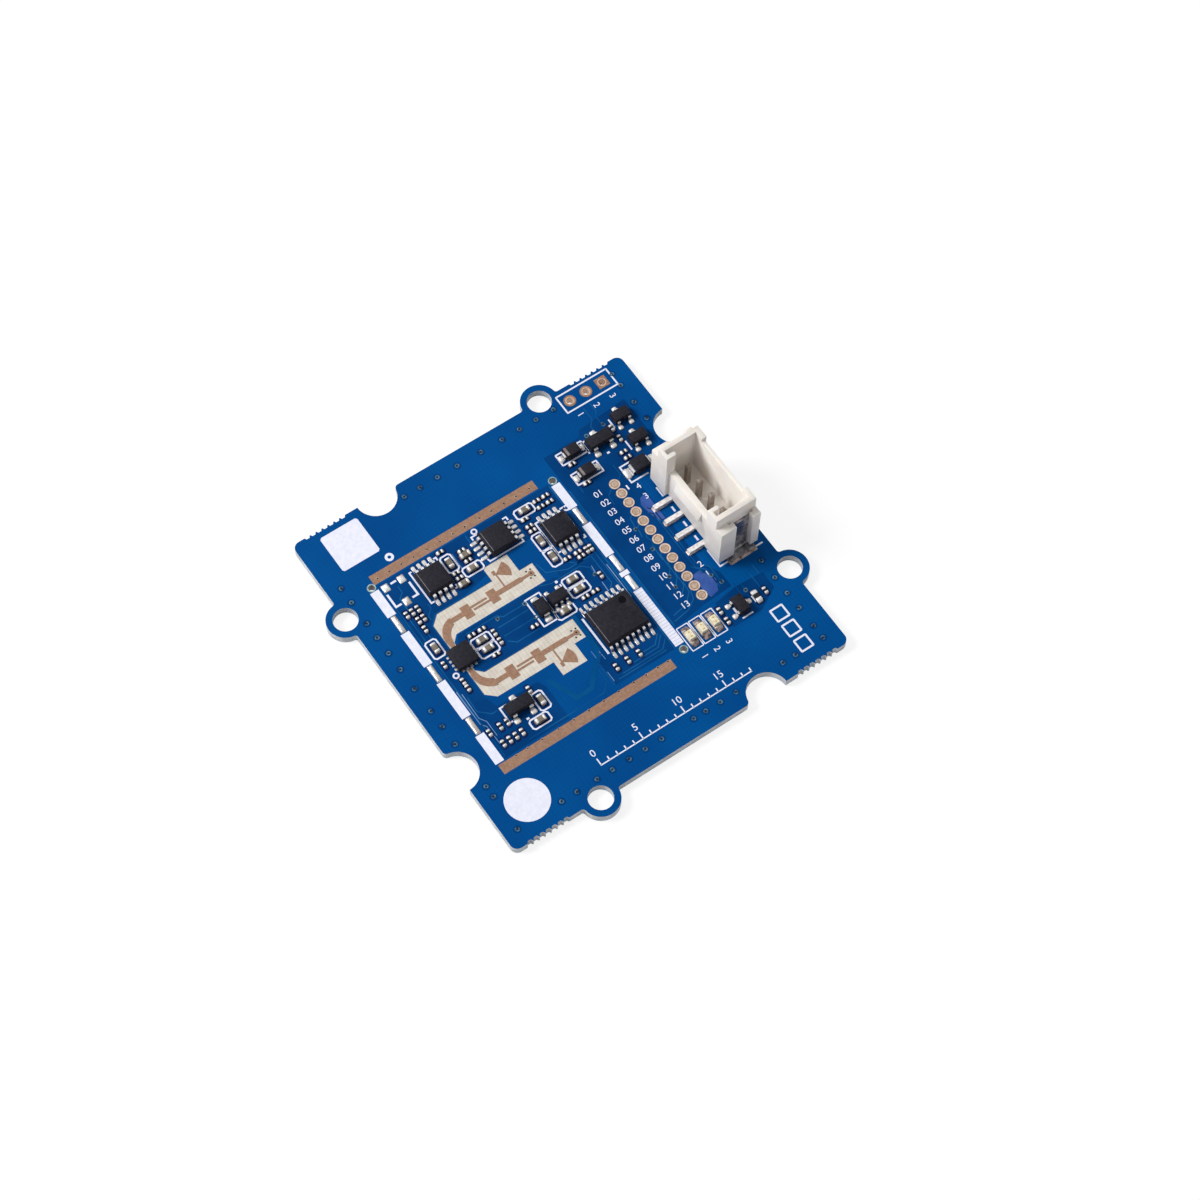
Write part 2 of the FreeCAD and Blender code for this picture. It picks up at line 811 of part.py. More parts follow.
def bent_strip(path, thickness, width, inner_radius):
    """
    Strip that follows path, a list of (x, z) points on its middle line, with every bend rounded.
    It is centred on y = 0.
    """
    rails = {-1: [], 1: []}
    last = {}
    for side in rails:
        direction, normal = heading(path[0], path[1])
        last[side] = offset(path[0], normal, side * thickness / 2)
    first = dict(last)
    middle_radius = inner_radius + thickness / 2
    for before, corner, after in zip(path, path[1:], path[2:]):
        in_direction, in_normal = heading(before, corner)
        out_direction, out_normal = heading(corner, after)
        cross = in_direction[0] * out_direction[1] - in_direction[1] * out_direction[0]
        turn = 1 if cross > 0 else -1
        angle = math.acos(in_direction[0] * out_direction[0] + in_direction[1] * out_direction[1])
        setback = middle_radius * math.tan(angle / 2)
        bend_in = offset(corner, in_direction, -setback)
        bend_out = offset(corner, out_direction, setback)
        centre = offset(bend_in, in_normal, turn * middle_radius)
        towards_corner = heading(centre, corner)[0]
        for side in rails:
            start = offset(bend_in, in_normal, side * thickness / 2)
            middle = offset(centre, towards_corner, middle_radius - turn * side * thickness / 2)
            end = offset(bend_out, out_normal, side * thickness / 2)
            rails[side].append(Part.makeLine(upright_point(last[side]), upright_point(start)))
            arc = Part.Arc(upright_point(start), upright_point(middle), upright_point(end))
            rails[side].append(arc.toShape())
            last[side] = end
    direction, normal = heading(path[-2], path[-1])
    ends = {}
    for side in rails:
        ends[side] = offset(path[-1], normal, side * thickness / 2)
        rails[side].append(Part.makeLine(upright_point(last[side]), upright_point(ends[side])))
    caps = [
        Part.makeLine(upright_point(first[-1]), upright_point(first[1])),
        Part.makeLine(upright_point(ends[-1]), upright_point(ends[1])),
    ]
    outline = Part.Wire(Part.__sortEdges__(rails[-1] + rails[1] + caps))
    face = Part.Face(outline)
    face.translate(Vector(0, -width / 2, 0))
    return face.extrude(Vector(0, width, 0))


def heading(start, end):
    """Unit direction from start to end, and the unit normal on its left."""
    length = math.hypot(end[0] - start[0], end[1] - start[1])
    direction = ((end[0] - start[0]) / length, (end[1] - start[1]) / length)
    return direction, (-direction[1], direction[0])


def offset(point, direction, distance):
    return (point[0] + direction[0] * distance, point[1] + direction[1] * distance)


def upright_point(point):
    return Vector(point[0], 0, point[1])


def connector_contact():
    """Square pin: a foot on the board and a post that ends in a tapered tip."""
    half = contact_size / 2
    shaft_top = contact_tip_height - contact_tip_inset
    foot_end = housing_middle_x - contact_foot_reach
    foot = span(foot_end, housing_middle_x + half, -half, half, 0, contact_size)
    shaft = block(housing_middle_x, 0, 0, contact_size, contact_size, shaft_top)
    tip = frustum(contact_size, contact_size, shaft_top, contact_tip_inset, contact_tip_inset)
    return fused([foot, shaft, turned(tip, 0, housing_middle_x)])


def connector_anchor():
    """Plate in the slot of the +Y end, bent outwards to a foot on the board."""
    slot_front, slot_back = anchor_slot()
    half = anchor_thickness / 2
    plate_y = housing_length / 2 + half
    path = [(plate_y, anchor_height), (plate_y, half), (plate_y + anchor_foot_length, half)]
    strip = bent_strip(path, anchor_thickness, slot_back - slot_front, anchor_bend)
    return turned(strip, 90, (slot_front + slot_back) / 2)


def save_connector():
    housing = turned(connector_housing(), 0, z=board_top)
    save("connector_housing", [housing])
    contact = connector_contact()
    for number, y in enumerate(even_row(contact_count, contact_pitch), start=1):
        save("connector_contact_%d" % number, [turned(contact, 0, y=y, z=board_top)])
    anchor = turned(connector_anchor(), 0, z=board_top)
    save("connector_anchors", [anchor, mirrored_y(anchor)])


def save_board():
    save("circuit_board", [circuit_board()])
    upper_rail = rail(recess_floor, copper_thickness)
    save("top_ground_rail", [upper_rail])
    save("bottom_ground_rail", [mirrored_y(upper_rail)])
    line = feed_line()
    save("transmit_feed_line", line)
    save("receive_feed_line", [mirrored_y(half) for half in line])
    save("transmit_antenna", [antenna()])
    save("receive_antenna", [mirrored_y(antenna())])
    save("shield_marking", marking_bars())
    save("shield_solder", solder_beads())


def save_pads():
    spare = [
        solder_mound(x, y, spare_pad_width, spare_pad_length, spare_pad_height) for x, y in spare_pad_places
    ]
    save("spare_solder_pads", spare)
    pads = [
        disc(test_pad_x, test_pad_first_y - place * test_pad_pitch, board_top, test_pad_radius, pad_thickness)
        for place in range(test_pad_count)
    ]
    save("test_pads", pads)


os.makedirs("parts", exist_ok=True)
save_board()
save_pads()
save_radar_chip()
save_chips()
save_transistors()
save_diodes()
save_capacitors()
save_resistors()
save_lights()
save_connector()
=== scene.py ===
import json
import math

import bpy
from mathutils import Matrix, Quaternion, Vector


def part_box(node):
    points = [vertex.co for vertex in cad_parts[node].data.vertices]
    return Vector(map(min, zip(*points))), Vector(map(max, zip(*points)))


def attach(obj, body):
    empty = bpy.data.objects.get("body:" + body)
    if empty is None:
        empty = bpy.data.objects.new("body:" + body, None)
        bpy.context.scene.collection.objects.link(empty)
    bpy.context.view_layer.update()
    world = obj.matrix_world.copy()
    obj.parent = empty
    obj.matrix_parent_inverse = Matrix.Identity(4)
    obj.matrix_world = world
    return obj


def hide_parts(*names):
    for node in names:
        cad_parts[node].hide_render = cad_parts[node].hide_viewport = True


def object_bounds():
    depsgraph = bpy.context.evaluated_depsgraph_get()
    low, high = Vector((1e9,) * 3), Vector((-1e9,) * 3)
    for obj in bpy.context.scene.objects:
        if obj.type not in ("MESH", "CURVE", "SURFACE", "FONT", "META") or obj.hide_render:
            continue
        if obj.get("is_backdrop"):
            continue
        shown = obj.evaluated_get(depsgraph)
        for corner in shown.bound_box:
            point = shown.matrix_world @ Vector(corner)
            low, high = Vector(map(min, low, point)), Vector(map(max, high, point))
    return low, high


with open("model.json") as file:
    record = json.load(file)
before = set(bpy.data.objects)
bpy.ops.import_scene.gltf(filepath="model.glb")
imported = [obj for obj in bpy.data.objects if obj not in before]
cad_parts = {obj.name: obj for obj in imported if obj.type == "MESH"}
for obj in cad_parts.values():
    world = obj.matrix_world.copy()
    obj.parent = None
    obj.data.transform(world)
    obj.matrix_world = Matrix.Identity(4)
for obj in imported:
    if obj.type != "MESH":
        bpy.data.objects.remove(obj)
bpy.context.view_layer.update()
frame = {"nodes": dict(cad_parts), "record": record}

# Sizes and places are in millimetres; pieces are modelled in them and brought to metres at the end.
MM = 0.001
SLOTS = {part["node"]: part["material_slot"] for part in frame["record"]["subparts"]}

# Camera
look_at = (2.121, -2.354, 1.0)
camera_distance = 309.6
camera_azimuth = -36.9
camera_elevation = 62.954
camera_roll = 2.46
camera_lens = 93.26

# Board levels: how far each thin layer stands above the top, and where those on the back begin
board_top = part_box("circuit_board")[1].z / MM
ground_edge = 0.004
clearance_and_shadow_height = 0.008
trace_height = 0.012
print_height = 0.02
ring_height = 0.035
back_level = -0.002

# Fine print and traces
fine_line = 0.17
mark_line = 0.22
light_frame_line = 0.11
label_size = 1.0
trace_width = 0.1
highlighted_trace_width = 0.07
supply_band_width = 0.5

# Vias, as radii
via_outer = 0.25
via_inner = 0.12
via_shade = 0.42
rail_via_hole = 0.09

# Left end of the lower ground rail, which the solids leave out
rail_end_length = 0.75
rail_end_top = -11.6

# Ridges across the long bar of the shield marking
ridge_first_y = -3.6
ridge_pitch = 0.35
ridge_count = 21

# Millimetre scale in the print
scale_left = -8.0
scale_y = -17.2
scale_length = 18
scale_overrun = 0.07

# Floor, in metres
floor_size = 3
floor_level = -0.0001


# Modelling helpers


def deselect():
    bpy.ops.object.select_all(action="DESELECT")


def only(piece):
    """Selects one object alone and makes it the active one."""
    deselect()
    piece.select_set(True)
    bpy.context.view_layer.objects.active = piece


def edit_all():
    """Enters edit mode with everything selected."""
    bpy.ops.object.mode_set(mode="EDIT")
    bpy.ops.mesh.select_all(action="SELECT")


def leave_closed():
    """Turns all faces outwards and leaves edit mode."""
    bpy.ops.mesh.select_all(action="SELECT")
    bpy.ops.mesh.normals_make_consistent(inside=False)
    bpy.ops.object.mode_set(mode="OBJECT")


def extrude(*step):
    """Extrudes the selection by a step of (x, y, z)."""
    bpy.ops.mesh.extrude_region_move(TRANSFORM_OT_translate={"value": step})


def select_faces(piece, wanted):
    """Selects the faces for which wanted(centre, normal) is true, by way of object mode."""
    bpy.ops.mesh.select_mode(type="FACE")
    bpy.ops.mesh.select_all(action="DESELECT")
    bpy.ops.object.mode_set(mode="OBJECT")
    for face in piece.data.polygons:
        face.select = bool(wanted(face.center, face.normal))
    bpy.ops.object.mode_set(mode="EDIT")


def apply_modifier(piece, kind, **settings):
    only(piece)
    modifier = piece.modifiers.new(kind.title(), kind)
    for key, value in settings.items():
        setattr(modifier, key, value)
    bpy.ops.object.modifier_apply(modifier=modifier.name)


def settle(piece):
    """Puts the object's own place into its mesh."""
    only(piece)
    bpy.ops.object.transform_apply(location=True, rotation=True, scale=True)


def smooth(piece, degrees=35):
    only(piece)
    bpy.ops.object.shade_smooth_by_angle(angle=math.radians(degrees))


def join(name, pieces):
    """One object made of several."""
    deselect()
    for piece in pieces:
        piece.select_set(True)
    bpy.context.view_layer.objects.active = pieces[0]
    if len(pieces) > 1:
        bpy.ops.object.join()
    joined = bpy.context.view_layer.objects.active
    joined.name = name
    return joined


def unturned(places):
    """Spots for place_copies at (x, y) places."""
    return [(x, y, 0) for x, y in places]


def place_copies(piece, spots):
    """One object made of a copy of the piece at each (x, y, degrees). The piece itself is used up."""
    copies = []
    for x, y, degrees in spots:
        copy = piece.copy()
        copy.data = piece.data.copy()
        bpy.context.collection.objects.link(copy)
        turn = Matrix.Rotation(math.radians(degrees), 4, "Z")
        copy.data.transform(Matrix.Translation((x, y, 0)) @ turn)
        copies.append(copy)
    name = piece.name
    bpy.data.objects.remove(piece)
    return join(name, copies)


def finish_piece(piece, material, replaces=()):
    """Brings a piece from millimetres to metres, gives it its material and lets it ride on the board."""
    piece.scale = (MM, MM, MM)
    settle(piece)
    piece.data.materials.clear()
    piece.data.materials.append(material)
    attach(piece, "root")
    if replaces:
        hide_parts(*replaces)
    return piece


def finish_copies(piece, spots, material, replaces=()):
    """One finished piece made of a copy at each spot."""
    finish_piece(place_copies(piece, spots), material, replaces)


def drawn_edges(name, paths, z):
    """Edges that follow the paths, each a list of (x, y) points. The object is left in edit mode."""
    deselect()
    bpy.ops.mesh.primitive_plane_add(size=1, location=(0, 0, 0))
    piece = bpy.context.object
    piece.name = name
    bpy.ops.object.mode_set(mode="EDIT")
    bpy.ops.mesh.select_mode(type="VERT")
    bpy.ops.mesh.delete(type="VERT")
    for path in paths:
        bpy.ops.mesh.primitive_plane_add(size=0.1, location=(path[0][0], path[0][1], z))
        bpy.ops.mesh.merge(type="CENTER")
        for before, after in zip(path, path[1:]):
            extrude(after[0] - before[0], after[1] - before[1], 0)
    bpy.ops.mesh.select_all(action="SELECT")
    bpy.ops.mesh.remove_doubles(threshold=0.002)
    bpy.ops.mesh.select_all(action="SELECT")
    return piece


def raise_edges(height):
    """Extrudes all that is drawn straight up, and turns the faces outwards."""
    extrude(0, 0, height)
    leave_closed()


def strokes(name, paths, width, z, height):
    """Flat strips that follow the paths: low walls along the edges, given a width."""
    piece = drawn_edges(name, paths, z)
    raise_edges(height)
    apply_modifier(piece, "SOLIDIFY", thickness=width, offset=0, use_even_offset=True)
    return piece


def patches(name, outlines, z, height):
    """Thin plates, each over a closed outline."""
    plates = []
    for outline in outlines:
        piece = drawn_edges(name, [outline + outline[:1]], z)
        bpy.ops.mesh.edge_face_add()
        raise_edges(height)
        plates.append(piece)
    return join(name, plates)


def disc(name, radius, z, sides):
    """Round face on the Z axis. The object is left in edit mode, with all of it selected."""
    deselect()
    bpy.ops.mesh.primitive_circle_add(vertices=sides, radius=radius, fill_type="NGON", location=(0, 0, z))
    piece = bpy.context.object
    piece.name = name
    edit_all()
    return piece


def ring(name, outer, inner, z, height, sides=24):
    """Flat ring round the Z axis."""
    piece = disc(name, outer, z, sides)
    bpy.ops.mesh.inset(thickness=(outer - inner) * math.cos(math.pi / sides))
    bpy.ops.mesh.delete(type="FACE")
    bpy.ops.mesh.select_all(action="SELECT")
    raise_edges(height)
    settle(piece)
    return piece


def dish(name, radius, z, height, rim, depth, sides=20):
    """Low disc whose middle is sunk inside a rim."""
    piece = disc(name, radius, z, sides)
    extrude(0, 0, height)
    bpy.ops.mesh.inset(thickness=rim)
    bpy.ops.transform.translate(value=(0, 0, -depth))
    leave_closed()
    settle(piece)
    return piece


def mound(name, length, width, height, z, corner=0.3):
    """Solder that has set on a pad: a rounded plate whose upper half draws in to a soft crown."""
    deselect()
    bpy.ops.mesh.primitive_plane_add(size=1, location=(0, 0, z))
    piece = bpy.context.object
    piece.name = name
    edit_all()
    bpy.ops.transform.resize(value=(length, width, 1))
    bpy.ops.mesh.bevel(offset=corner * min(length, width), segments=2, affect="VERTICES")
    bpy.ops.mesh.select_all(action="SELECT")
    for share, draw in ((0.35, 0.97), (0.4, 0.85), (0.25, 0.6)):
        extrude(0, 0, height * share)
        bpy.ops.transform.resize(value=(draw, draw, 1))
    leave_closed()
    settle(piece)
    smooth(piece, 60)
    return piece


def solder_end(name, cap, reach, width, height, toe):
    """Cap on the +X end of a two-ended part, whose solder runs out to a toe on the board."""
    middle = (-cap / 2, 0, board_top + height / 2)
    waist = 0.62
    deselect()
    bpy.ops.mesh.primitive_cube_add(size=1, location=middle)
    piece = bpy.context.object
    piece.name = name
    edit_all()
    bpy.ops.transform.resize(value=(cap, width, height), center_override=middle)
    select_faces(piece, lambda centre, normal: normal.x > 0.9)
    extrude(reach * 0.4, 0, 0)
    bpy.ops.transform.resize(value=(1, 0.95, waist), center_override=(0, 0, board_top))
    extrude(reach * 0.6, 0, 0)
    bpy.ops.transform.resize(value=(1, 0.85, toe / (height * waist)), center_override=(0, 0, board_top))
    bpy.ops.object.mode_set(mode="OBJECT")
    settle(piece)
    apply_modifier(
        piece, "BEVEL", width=0.1 * width, segments=1, limit_method="ANGLE", angle_limit=math.radians(40)
    )
    smooth(piece, 60)
    return piece


def chamfered(x0, x1, y0, y1, corner):
    """Closed path round a rectangle whose corners are cut."""
    return [
        (x0 + corner, y0),
        (x1 - corner, y0),
        (x1, y0 + corner),
        (x1, y1 - corner),
        (x1 - corner, y1),
        (x0 + corner, y1),
        (x0, y1 - corner),
        (x0, y0 + corner),
        (x0 + corner, y0),
    ]


def circle_path(x, y, radius, count=16):
    turns = [2 * math.pi * step / count for step in range(count + 1)]
    return [(x + radius * math.cos(turn), y + radius * math.sin(turn)) for turn in turns]


def numbers(name, items, size):
    """Raised print of plain numbers: each item is (text, x, y, degrees, align)."""
    middle_z = board_top + print_height / 2
    pieces = []
    for text, x, y, degrees, align in items:
        deselect()
        bpy.ops.object.text_add(location=(x, y, middle_z), rotation=(0, 0, math.radians(degrees)))
        label = bpy.context.object
        label.data.body = text
        label.data.size = size
        label.data.align_x = align
        label.data.align_y = "CENTER"
        label.data.extrude = print_height / 2
        label.data.resolution_u = 3
        bpy.ops.object.convert(target="MESH")
        settle(bpy.context.object)
        pieces.append(bpy.context.object)
    return join(name, pieces)


def merged_copy(node, name):
    """Copy of a CAD node in millimetres, with its loose triangles joined up into whole faces."""
    source = frame["nodes"][node]
    piece = source.copy()
    piece.data = source.data.copy()
    piece.name = name
    bpy.context.collection.objects.link(piece)
    piece.parent = None
    piece.data.transform(Matrix.Scale(1 / MM, 4))
    only(piece)
    bpy.ops.mesh.customdata_custom_splitnormals_clear()
    edit_all()
    bpy.ops.mesh.remove_doubles(threshold=0.002)
    bpy.ops.mesh.dissolve_limited(angle_limit=math.radians(1))
    bpy.ops.object.mode_set(mode="OBJECT")
    return piece


def solids_of(node):
    """Middle and size, in millimetres, of each separate solid in a CAD node."""
    piece = merged_copy(node, "measured")
    edit_all()
    bpy.ops.mesh.separate(type="LOOSE")
    bpy.ops.object.mode_set(mode="OBJECT")
    found = []
    for part in list(bpy.context.selected_objects):
        corners = [vertex.co for vertex in part.data.vertices]
        low = Vector([min(corner[axis] for corner in corners) for axis in range(3)])
        high = Vector([max(corner[axis] for corner in corners) for axis in range(3)])
        found.append(((low + high) / 2, high - low))
        bpy.data.objects.remove(part)
    return found


def outward(middle, bodies):
    """Degrees from +X of the side of the nearest body that a lead or cap stands on."""
    body, size = min(bodies, key=lambda body: (body[0] - middle).length)
    beyond_x = abs(middle.x - body.x) - size.x / 2
    beyond_y = abs(middle.y - body.y) - size.y / 2
    if beyond_x > beyond_y:
        return 0 if middle.x > body.x else 180
    return 90 if middle.y > body.y else 270


def end_spot(middle, size, degrees, back=0.0):
    """Spot on the outer end of a part that points outwards by so many degrees, moved back along it."""
    turn = math.radians(degrees)
    reach = (size.x if degrees % 180 == 0 else size.y) / 2 - back
    return (middle.x + reach * math.cos(turn), middle.y + reach * math.sin(turn), degrees)


def softened(node, name, edge, material, segments=2):
    """Piece that stands for a CAD node and has its shape, with the edges rounded as a moulding's are."""
    piece = merged_copy(node, name)
    apply_modifier(
        piece, "BEVEL", width=edge, segments=segments, limit_method="ANGLE", angle_limit=math.radians(30)
    )
    smooth(piece)
    return finish_piece(piece, material, [node])


# Materials


def srgb(red, green, blue):
    """Colour written as it is seen, from 0 to 255 a channel."""
    def linear(value):
        value /= 255
        return value / 12.92 if value <= 0.04045 else ((value + 0.055) / 1.055) ** 2.4
    return (linear(red), linear(green), linear(blue), 1.0)


def add_node(tree, kind, inputs=None, **settings):
    """Shader node with its settings made and its sockets set or linked."""
    made = tree.nodes.new(kind)
    for key, value in settings.items():
        setattr(made, key, value)
    for socket, value in (inputs or {}).items():
        if isinstance(value, bpy.types.NodeSocket):
            tree.links.new(value, made.inputs[socket])
        else:
            made.inputs[socket].default_value = value
    return made


def calculated(tree, operation, *values):
    """Number that a maths node works out from one or two others."""
    return add_node(tree, "ShaderNodeMath", dict(enumerate(values)), operation=operation).outputs[0]


def mixed_colour(tree, share, first, second, blend_type="MIX"):
    """Two colours mixed; the numbers are those of the mix node's sockets for colours."""
    inputs = {0: share, 6: first, 7: second}
    return add_node(tree, "ShaderNodeMix", inputs, data_type="RGBA", blend_type=blend_type).outputs[2]


def multiplied(tree, first, second, share=1.0):
    return mixed_colour(tree, share, first, second, "MULTIPLY")


def new_material(name, roughness, metallic=0.0, gloss=0.5):
    """Plain material, given with its node tree, its shader and the object's own coordinates."""
    material = bpy.data.materials.new(name)
    material.use_nodes = True
    tree = material.node_tree
    shader = tree.nodes["Principled BSDF"]
    shader.inputs["Roughness"].default_value = roughness
    shader.inputs["Metallic"].default_value = metallic
    shader.inputs["Specular IOR Level"].default_value = gloss
    place = tree.nodes.new("ShaderNodeTexCoord").outputs["Object"]
    return material, tree, shader, place


def ramped(tree, factor, *stops):
    """Colour that runs through the stops, each a position from 0 to 1 and a colour."""
    ramp = add_node(tree, "ShaderNodeValToRGB", {"Fac": factor})
    elements = ramp.color_ramp.elements
    for element, (position, colour) in zip(elements, stops[:2]):
        element.position = position
        element.color = colour
    for position, colour in stops[2:]:
        elements.new(position).color = colour
    return ramp.outputs["Color"]


def mottled(tree, place, scale, dark, light, detail=3):
    """Colour that wanders between two shades; scale is in features per metre."""
    noise = add_node(tree, "ShaderNodeTexNoise", {"Vector": place, "Scale": scale, "Detail": detail})
    return ramped(tree, noise.outputs["Fac"], (0.35, dark), (0.65, light))


def grain(tree, shader, place, scale, strength, depth):
    """Fine bumps over the surface; depth is in millimetres."""
    noise = add_node(tree, "ShaderNodeTexNoise", {"Vector": place, "Scale": scale, "Detail": 4})
    bump = add_node(
        tree, "ShaderNodeBump", {"Height": noise.outputs["Fac"], "Strength": strength, "Distance": depth * MM}
    )
    tree.links.new(bump.outputs["Normal"], shader.inputs["Normal"])


def thread_shade(tree, place, direction, period, shade, end):
    """White darkened to the shade along parallel glass threads; their period is in millimetres."""
    wave = add_node(
        tree,
        "ShaderNodeTexWave",
        {"Vector": place, "Scale": math.pi / (10 * period * MM), "Distortion": 0.6, "Detail": 1.0},
        wave_type="BANDS",
        bands_direction=direction,
    )
    return ramped(tree, wave.outputs["Fac"], (0.0, shade + (1,)), (end, (1, 1, 1, 1)))


def simple_finish(name, dark, light, scale, roughness, metallic=0.0, gloss=0.5, bump=(2000, 0.3, 0.02)):
    """Two shades and fine bumps; bump is the grain's scale, strength and depth."""
    material, tree, shader, place = new_material(name, roughness, metallic, gloss)
    colour = mottled(tree, place, scale, srgb(*dark), srgb(*light))
    tree.links.new(colour, shader.inputs["Base Color"])
    grain(tree, shader, place, *bump)
    return material


def mask_over(name, dark, light, scale=300):
    """Blue mask over something other than whole copper."""
    return simple_finish(name, dark, light, scale, 0.42, 0.0, 0.03, (900, 0.2, 0.02))


def height_above_board(tree, place, low, high):
    """Runs from 0 to 1 between two heights over the board, in millimetres."""
    parts = add_node(tree, "ShaderNodeSeparateXYZ", {"Vector": place})
    inputs = {
        "Value": parts.outputs["Z"],
        "From Min": (board_top + low) * MM,
        "From Max": (board_top + high) * MM,
    }
    return add_node(tree, "ShaderNodeMapRange", inputs).outputs["Result"]


def fillet_finish(name, low, high, foot, crown):
    """Metal with painted light and shade: its colour runs from the foot's to the crown's between two heights
    over the board.
    """
    material, tree, shader, place = new_material(name, 0.3, 0.25)
    dark = mottled(tree, place, 2600, foot, tuple(1.5 * value for value in foot[:3]) + (1.0,))
    bright = mottled(tree, place, 1400, tuple(0.8 * value for value in crown[:3]) + (1.0,), crown)
    share = height_above_board(tree, place, low, high)
    tree.links.new(mixed_colour(tree, share, dark, bright), shader.inputs["Base Color"])
    grain(tree, shader, place, 2200, 0.4, 0.04)
    return material


def lead_finish():
    """Tinned lead with painted light and shade: a bright foot and shoulder where the light falls, and a
    painted darker slope between them.
    """
    material, tree, shader, place = new_material("tinned_lead", 0.3, 0.4)
    bright = srgb(246, 245, 246)
    slope = srgb(104, 102, 112)
    height = height_above_board(tree, place, 0.14, 0.54)
    painted_light_zones = ramped(tree, height, (0.0, bright), (0.2, slope), (0.78, slope), (1.0, bright))
    wear = mottled(tree, place, 1500, (0.72, 0.72, 0.73, 1), (1, 1, 1, 1))
    tree.links.new(multiplied(tree, painted_light_zones, wear), shader.inputs["Base Color"])
    grain(tree, shader, place, 2000, 0.3, 0.02)
    return material


def nylon_finish():
    """Off-white nylon, which lets a little light through."""
    material = simple_finish("connector_nylon", (228, 222, 214), (241, 235, 228), 250, 0.5, 0.0, 0.3)
    shader = material.node_tree.nodes["Principled BSDF"]
    shader.inputs["Subsurface Weight"].default_value = 0.35
    shader.inputs["Subsurface Radius"].default_value = (1.0, 0.7, 0.45)
    shader.inputs["Subsurface Scale"].default_value = 0.4 * MM
    return material


def mask_finish():
    """Blue mask on both faces, woven laminate in the windows and plain laminate on the board's edge."""
    material, tree, shader, place = new_material("solder_mask", 0.42, 0.0, 0.03)
    blue = mottled(tree, place, 90, srgb(0, 70, 134), srgb(0, 80, 146))
    across = thread_shade(tree, place, "X", 0.42, (0.88, 0.9, 0.93), 0.4)
    along = thread_shade(tree, place, "Y", 0.5, (0.92, 0.94, 0.95), 0.4)
    blue = multiplied(tree, multiplied(tree, blue, across, 0.6), along, 0.6)
    parts = add_node(tree, "ShaderNodeSeparateXYZ", {"Vector": place})
    half_board = 0.5 * board_top
    mask_depth = 0.02
    height = calculated(tree, "SUBTRACT", parts.outputs["Z"], half_board * MM)
    reach = calculated(tree, "ABSOLUTE", height)
    masked = calculated(tree, "GREATER_THAN", reach, (half_board - mask_depth) * MM)
    laminate = mottled(tree, place, 1200, srgb(208, 200, 189), srgb(222, 215, 204))
    warp = thread_shade(tree, place, "X", 0.4, (0.9, 0.88, 0.84), 0.22)
    weft = thread_shade(tree, place, "Y", 0.55, (0.93, 0.92, 0.89), 0.2)
    woven = multiplied(tree, multiplied(tree, laminate, warp), weft, 0.7)
    edge = mottled(tree, place, 900, srgb(172, 177, 182), srgb(200, 204, 208))
    in_window = height_above_board(tree, place, -0.07, -0.06)
    laminate = mixed_colour(tree, in_window, edge, woven)
    tree.links.new(mixed_colour(tree, masked, laminate, blue), shader.inputs["Base Color"])
    grain(tree, shader, place, 1500, 0.15, 0.02)
    return material


mask = mask_finish()
deep_mask = mask_over("mask_without_copper", (0, 56, 112), (2, 64, 124))
# Dark navy round the small parts: mask where copper is cleared round the pads, darkened further as painted
# shadow of the parts
clearance_and_shadow_mask = mask_over("mask_round_pads", (4, 30, 82), (10, 42, 98), 900)
pale_mask = mask_over("mask_over_power_copper", (50, 80, 150), (66, 96, 164), 700)
trace_mask = mask_over("mask_over_traces", (4, 72, 132), (26, 96, 150))
# Mask over traces, lightened far past the copper under it as a painted highlight along them
highlighted_trace_mask = mask_over("mask_over_bright_traces", (84, 124, 176), (136, 168, 206))
band_mask = mask_over("mask_over_band", (0, 74, 130), (8, 84, 138))
# Via rings: dark mask mottled with light teal specks that are painted highlights
via_mask_and_glints = mask_over("mask_on_vias", (4, 44, 84), (92, 132, 156), 3200)
# After the two shades come features per metre, roughness, and how metallic and how glossy it is
hole_dark = simple_finish("hole_shade", (14, 18, 30), (24, 30, 46), 2500, 0.5, 0.0, 0.3)
copper = simple_finish("bare_copper", (150, 115, 93), (168, 132, 109), 4500, 0.55, 0.25, 0.2)
# Test pad rims: tan copper lightened towards cream, partly as painted highlight
pad_copper_and_highlight = simple_finish("test_pad_copper", (194, 171, 151), (231, 213, 196), 3500, 0.4, 0.25, 0.3)
# Dark brown lip copper with light tan specks that are painted highlights
lip_copper = simple_finish("rail_via_lip_copper_with_highlights", (92, 68, 58), (222, 196, 176), 5000, 0.4, 0.3, 0.3)
pale_copper = simple_finish("plugged_copper", (170, 144, 124), (202, 178, 158), 3500, 0.45, 0.1, 0.4)
# Copper brightened as painted light: the lit wall inside the header holes and the painted highlight round
# their edges
lit_barrel_copper = simple_finish("plated_barrel", (206, 172, 148), (232, 204, 182), 3500, 0.35, 0.3)
soft_dents = (1000, 0.5, 0.1)
# Set solder mottled from pale brownish grey to white: tint variation, with the white patches as painted
# highlights
solder_with_painted_sheen = simple_finish("set_solder", (206, 197, 190), (255, 254, 253), 420, 0.28, 0.6, bump=soft_dents)
pale_tin = simple_finish("plated_ring", (112, 146, 152), (168, 192, 194), 2500, 0.35, 0.4)
# Dark as painted shade down inside the shield holes
shaded_barrel_metal = simple_finish("shield_hole_barrel", (60, 54, 54), (120, 108, 100), 2500, 0.3, 0.6)
# Dark brown to light metal; on the connector's contact joints the dark brown is painted shadow beside each
# tail
brown_tin_and_shadow = simple_finish("light_end_metal", (96, 78, 74), (196, 178, 170), 2600, 0.35, 0.4)
tin = lead_finish()
anchor_tin = simple_finish("anchor_tin", (120, 118, 122), (206, 204, 206), 1500, 0.24, 0.9)
